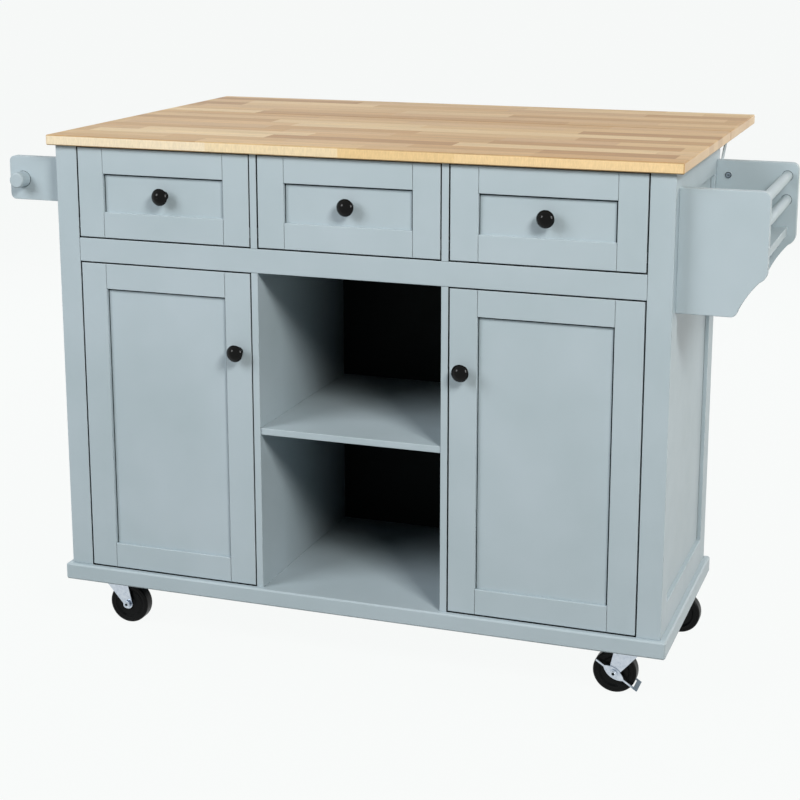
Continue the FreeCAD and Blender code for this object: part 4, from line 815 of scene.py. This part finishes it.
# Painted floor: an even matt grey card, which glows white to the camera and in reflections.
pale_floor = bpy.data.materials.new("pale_studio_floor")
pale_floor.use_nodes = True
tree = pale_floor.node_tree
tree.nodes.clear()
card = add(tree, "ShaderNodeBsdfDiffuse", {"Color": linear("#9A9E9E")})
glow = add(tree, "ShaderNodeEmission", {"Color": linear("#FDFFFE"), "Strength": 1.0})
rays = add(tree, "ShaderNodeLightPath")
white_to = add(tree, "ShaderNodeMath", {0: rays.outputs["Is Camera Ray"],
                                        1: rays.outputs["Is Glossy Ray"]}, operation="MAXIMUM")
part = add(tree, "ShaderNodeMath", {0: white_to.outputs[0], 1: GLOW_SHARE}, operation="MULTIPLY")
blend = add(tree, "ShaderNodeMixShader", {0: part.outputs[0], 1: card.outputs[0],
                                          2: glow.outputs[0]})
add(tree, "ShaderNodeOutputMaterial", {"Surface": blend.outputs[0]})
floor_mesh.materials.append(pale_floor)

world = bpy.data.worlds.new("pale_surround")
bpy.context.scene.world = world
world.use_nodes = True
tree = world.node_tree
tree.nodes.clear()
room = add(tree, "ShaderNodeBackground", {"Color": linear("#F2F4F6"), "Strength": 0.015})
white = add(tree, "ShaderNodeBackground", {"Color": linear("#F9FBFA"), "Strength": 1.0})
rays = add(tree, "ShaderNodeLightPath")
white_to = rays.outputs["Is Camera Ray"]
for kind in ("Is Glossy Ray", "Is Transmission Ray"):
    white_to = add(tree, "ShaderNodeMath", {0: white_to, 1: rays.outputs[kind]},
                   operation="MAXIMUM").outputs[0]
blend = add(tree, "ShaderNodeMixShader", {0: white_to, 1: room.outputs[0], 2: white.outputs[0]})
add(tree, "ShaderNodeOutputWorld", {"Surface": blend.outputs[0]})


# The lamps: two large soft boxes in front, one at each side and two behind light the surfaces,
# and leave no glare on them. Three smaller ones give the gloss: a sheen on the paint, a spark on
# each knob, and a whitish veil on the back of the worktop.
def soft_box(name, place, size, power, colour, aim, gloss_only=False):
    """A lamp at a place, turned to its aim. It lights gloss only, or everything but gloss."""
    lamp = bpy.data.lights.new(name, "AREA")
    lamp.shape, lamp.energy, lamp.color = "RECTANGLE", power, linear(colour)[:3]
    lamp.size, lamp.size_y = size
    holder = bpy.data.objects.new(name, lamp)
    bpy.context.scene.collection.objects.link(holder)
    holder.location = place
    holder.rotation_euler = (Vector(aim) - Vector(place)).to_track_quat("-Z", "Y").to_euler()
    holder.visible_camera = False
    holder.visible_glossy, holder.visible_diffuse = gloss_only, not gloss_only


BODY, RIGHT_END, LEFT_END = (0, 0, 0.5), (0.5, 0, 0.5), (-0.5, 0, 0.5)
DRAWERS, LEAF_TOP = (0, -0.3, 0.7), (-0.3, 0.3, 0.92)
soft_box("right_soft_box", (2.5, -2.85, 3.05), (1.1, 1.1), 144, "#FFFEFA", BODY)
soft_box("left_soft_box", (-2.3, -2.9, 2.6), (2.0, 2.0), 105, "#FBFDFF", BODY)
soft_box("side_soft_box", (3.2, 0.6, 1.3), (1.3, 1.3), 24, "#FFF3E8", RIGHT_END)
soft_box("far_side_soft_box", (-3.1, 1.0, 1.3), (1.3, 1.3), 34, "#FFFFFF", LEFT_END)
soft_box("rear_right_soft_box", (1.7, 3.1, 1.9), (1.3, 1.3), 44, "#FFFFFF", BODY)
soft_box("rear_left_soft_box", (-1.7, 3.1, 1.9), (1.3, 1.3), 40, "#FFFFFF", BODY)
soft_box("left_catch_light", (-1.9, -2.6, 2.1), (1.0, 1.0), 36, "#FBFDFF", DRAWERS, True)
soft_box("right_catch_light", (3.0, -1.2, 1.7), (0.35, 1.3), 42, "#FFFFFF", DRAWERS, True)
soft_box("rear_catch_light", (-1.5, 2.4, 1.45), (0.9, 0.9), 0.5, "#F4F9FF", LEAF_TOP, True)

bpy.context.scene.view_settings.view_transform = "Standard"


# The camera stands in front and to the right, a little above the worktop. A small shift keeps
# the cart's uprights nearly upright, as they are in the photograph.
SENSOR, FRAME_PIXELS, FOCAL_PIXELS = 36, 800, 1737.5
TILT_DOWN, TURN_LEFT = 12.81, 19.42
lens = bpy.data.cameras.new("photo_camera")
lens.sensor_width, lens.lens = SENSOR, SENSOR * FOCAL_PIXELS / FRAME_PIXELS
lens.shift_y = -0.1
camera = bpy.data.objects.new("photo_camera", lens)
bpy.context.scene.collection.objects.link(camera)
camera.location = (1.0181, -3.0247, 1.2781)
camera.rotation_euler = (math.radians(90 - TILT_DOWN), 0, math.radians(TURN_LEFT))
bpy.context.scene.camera = camera
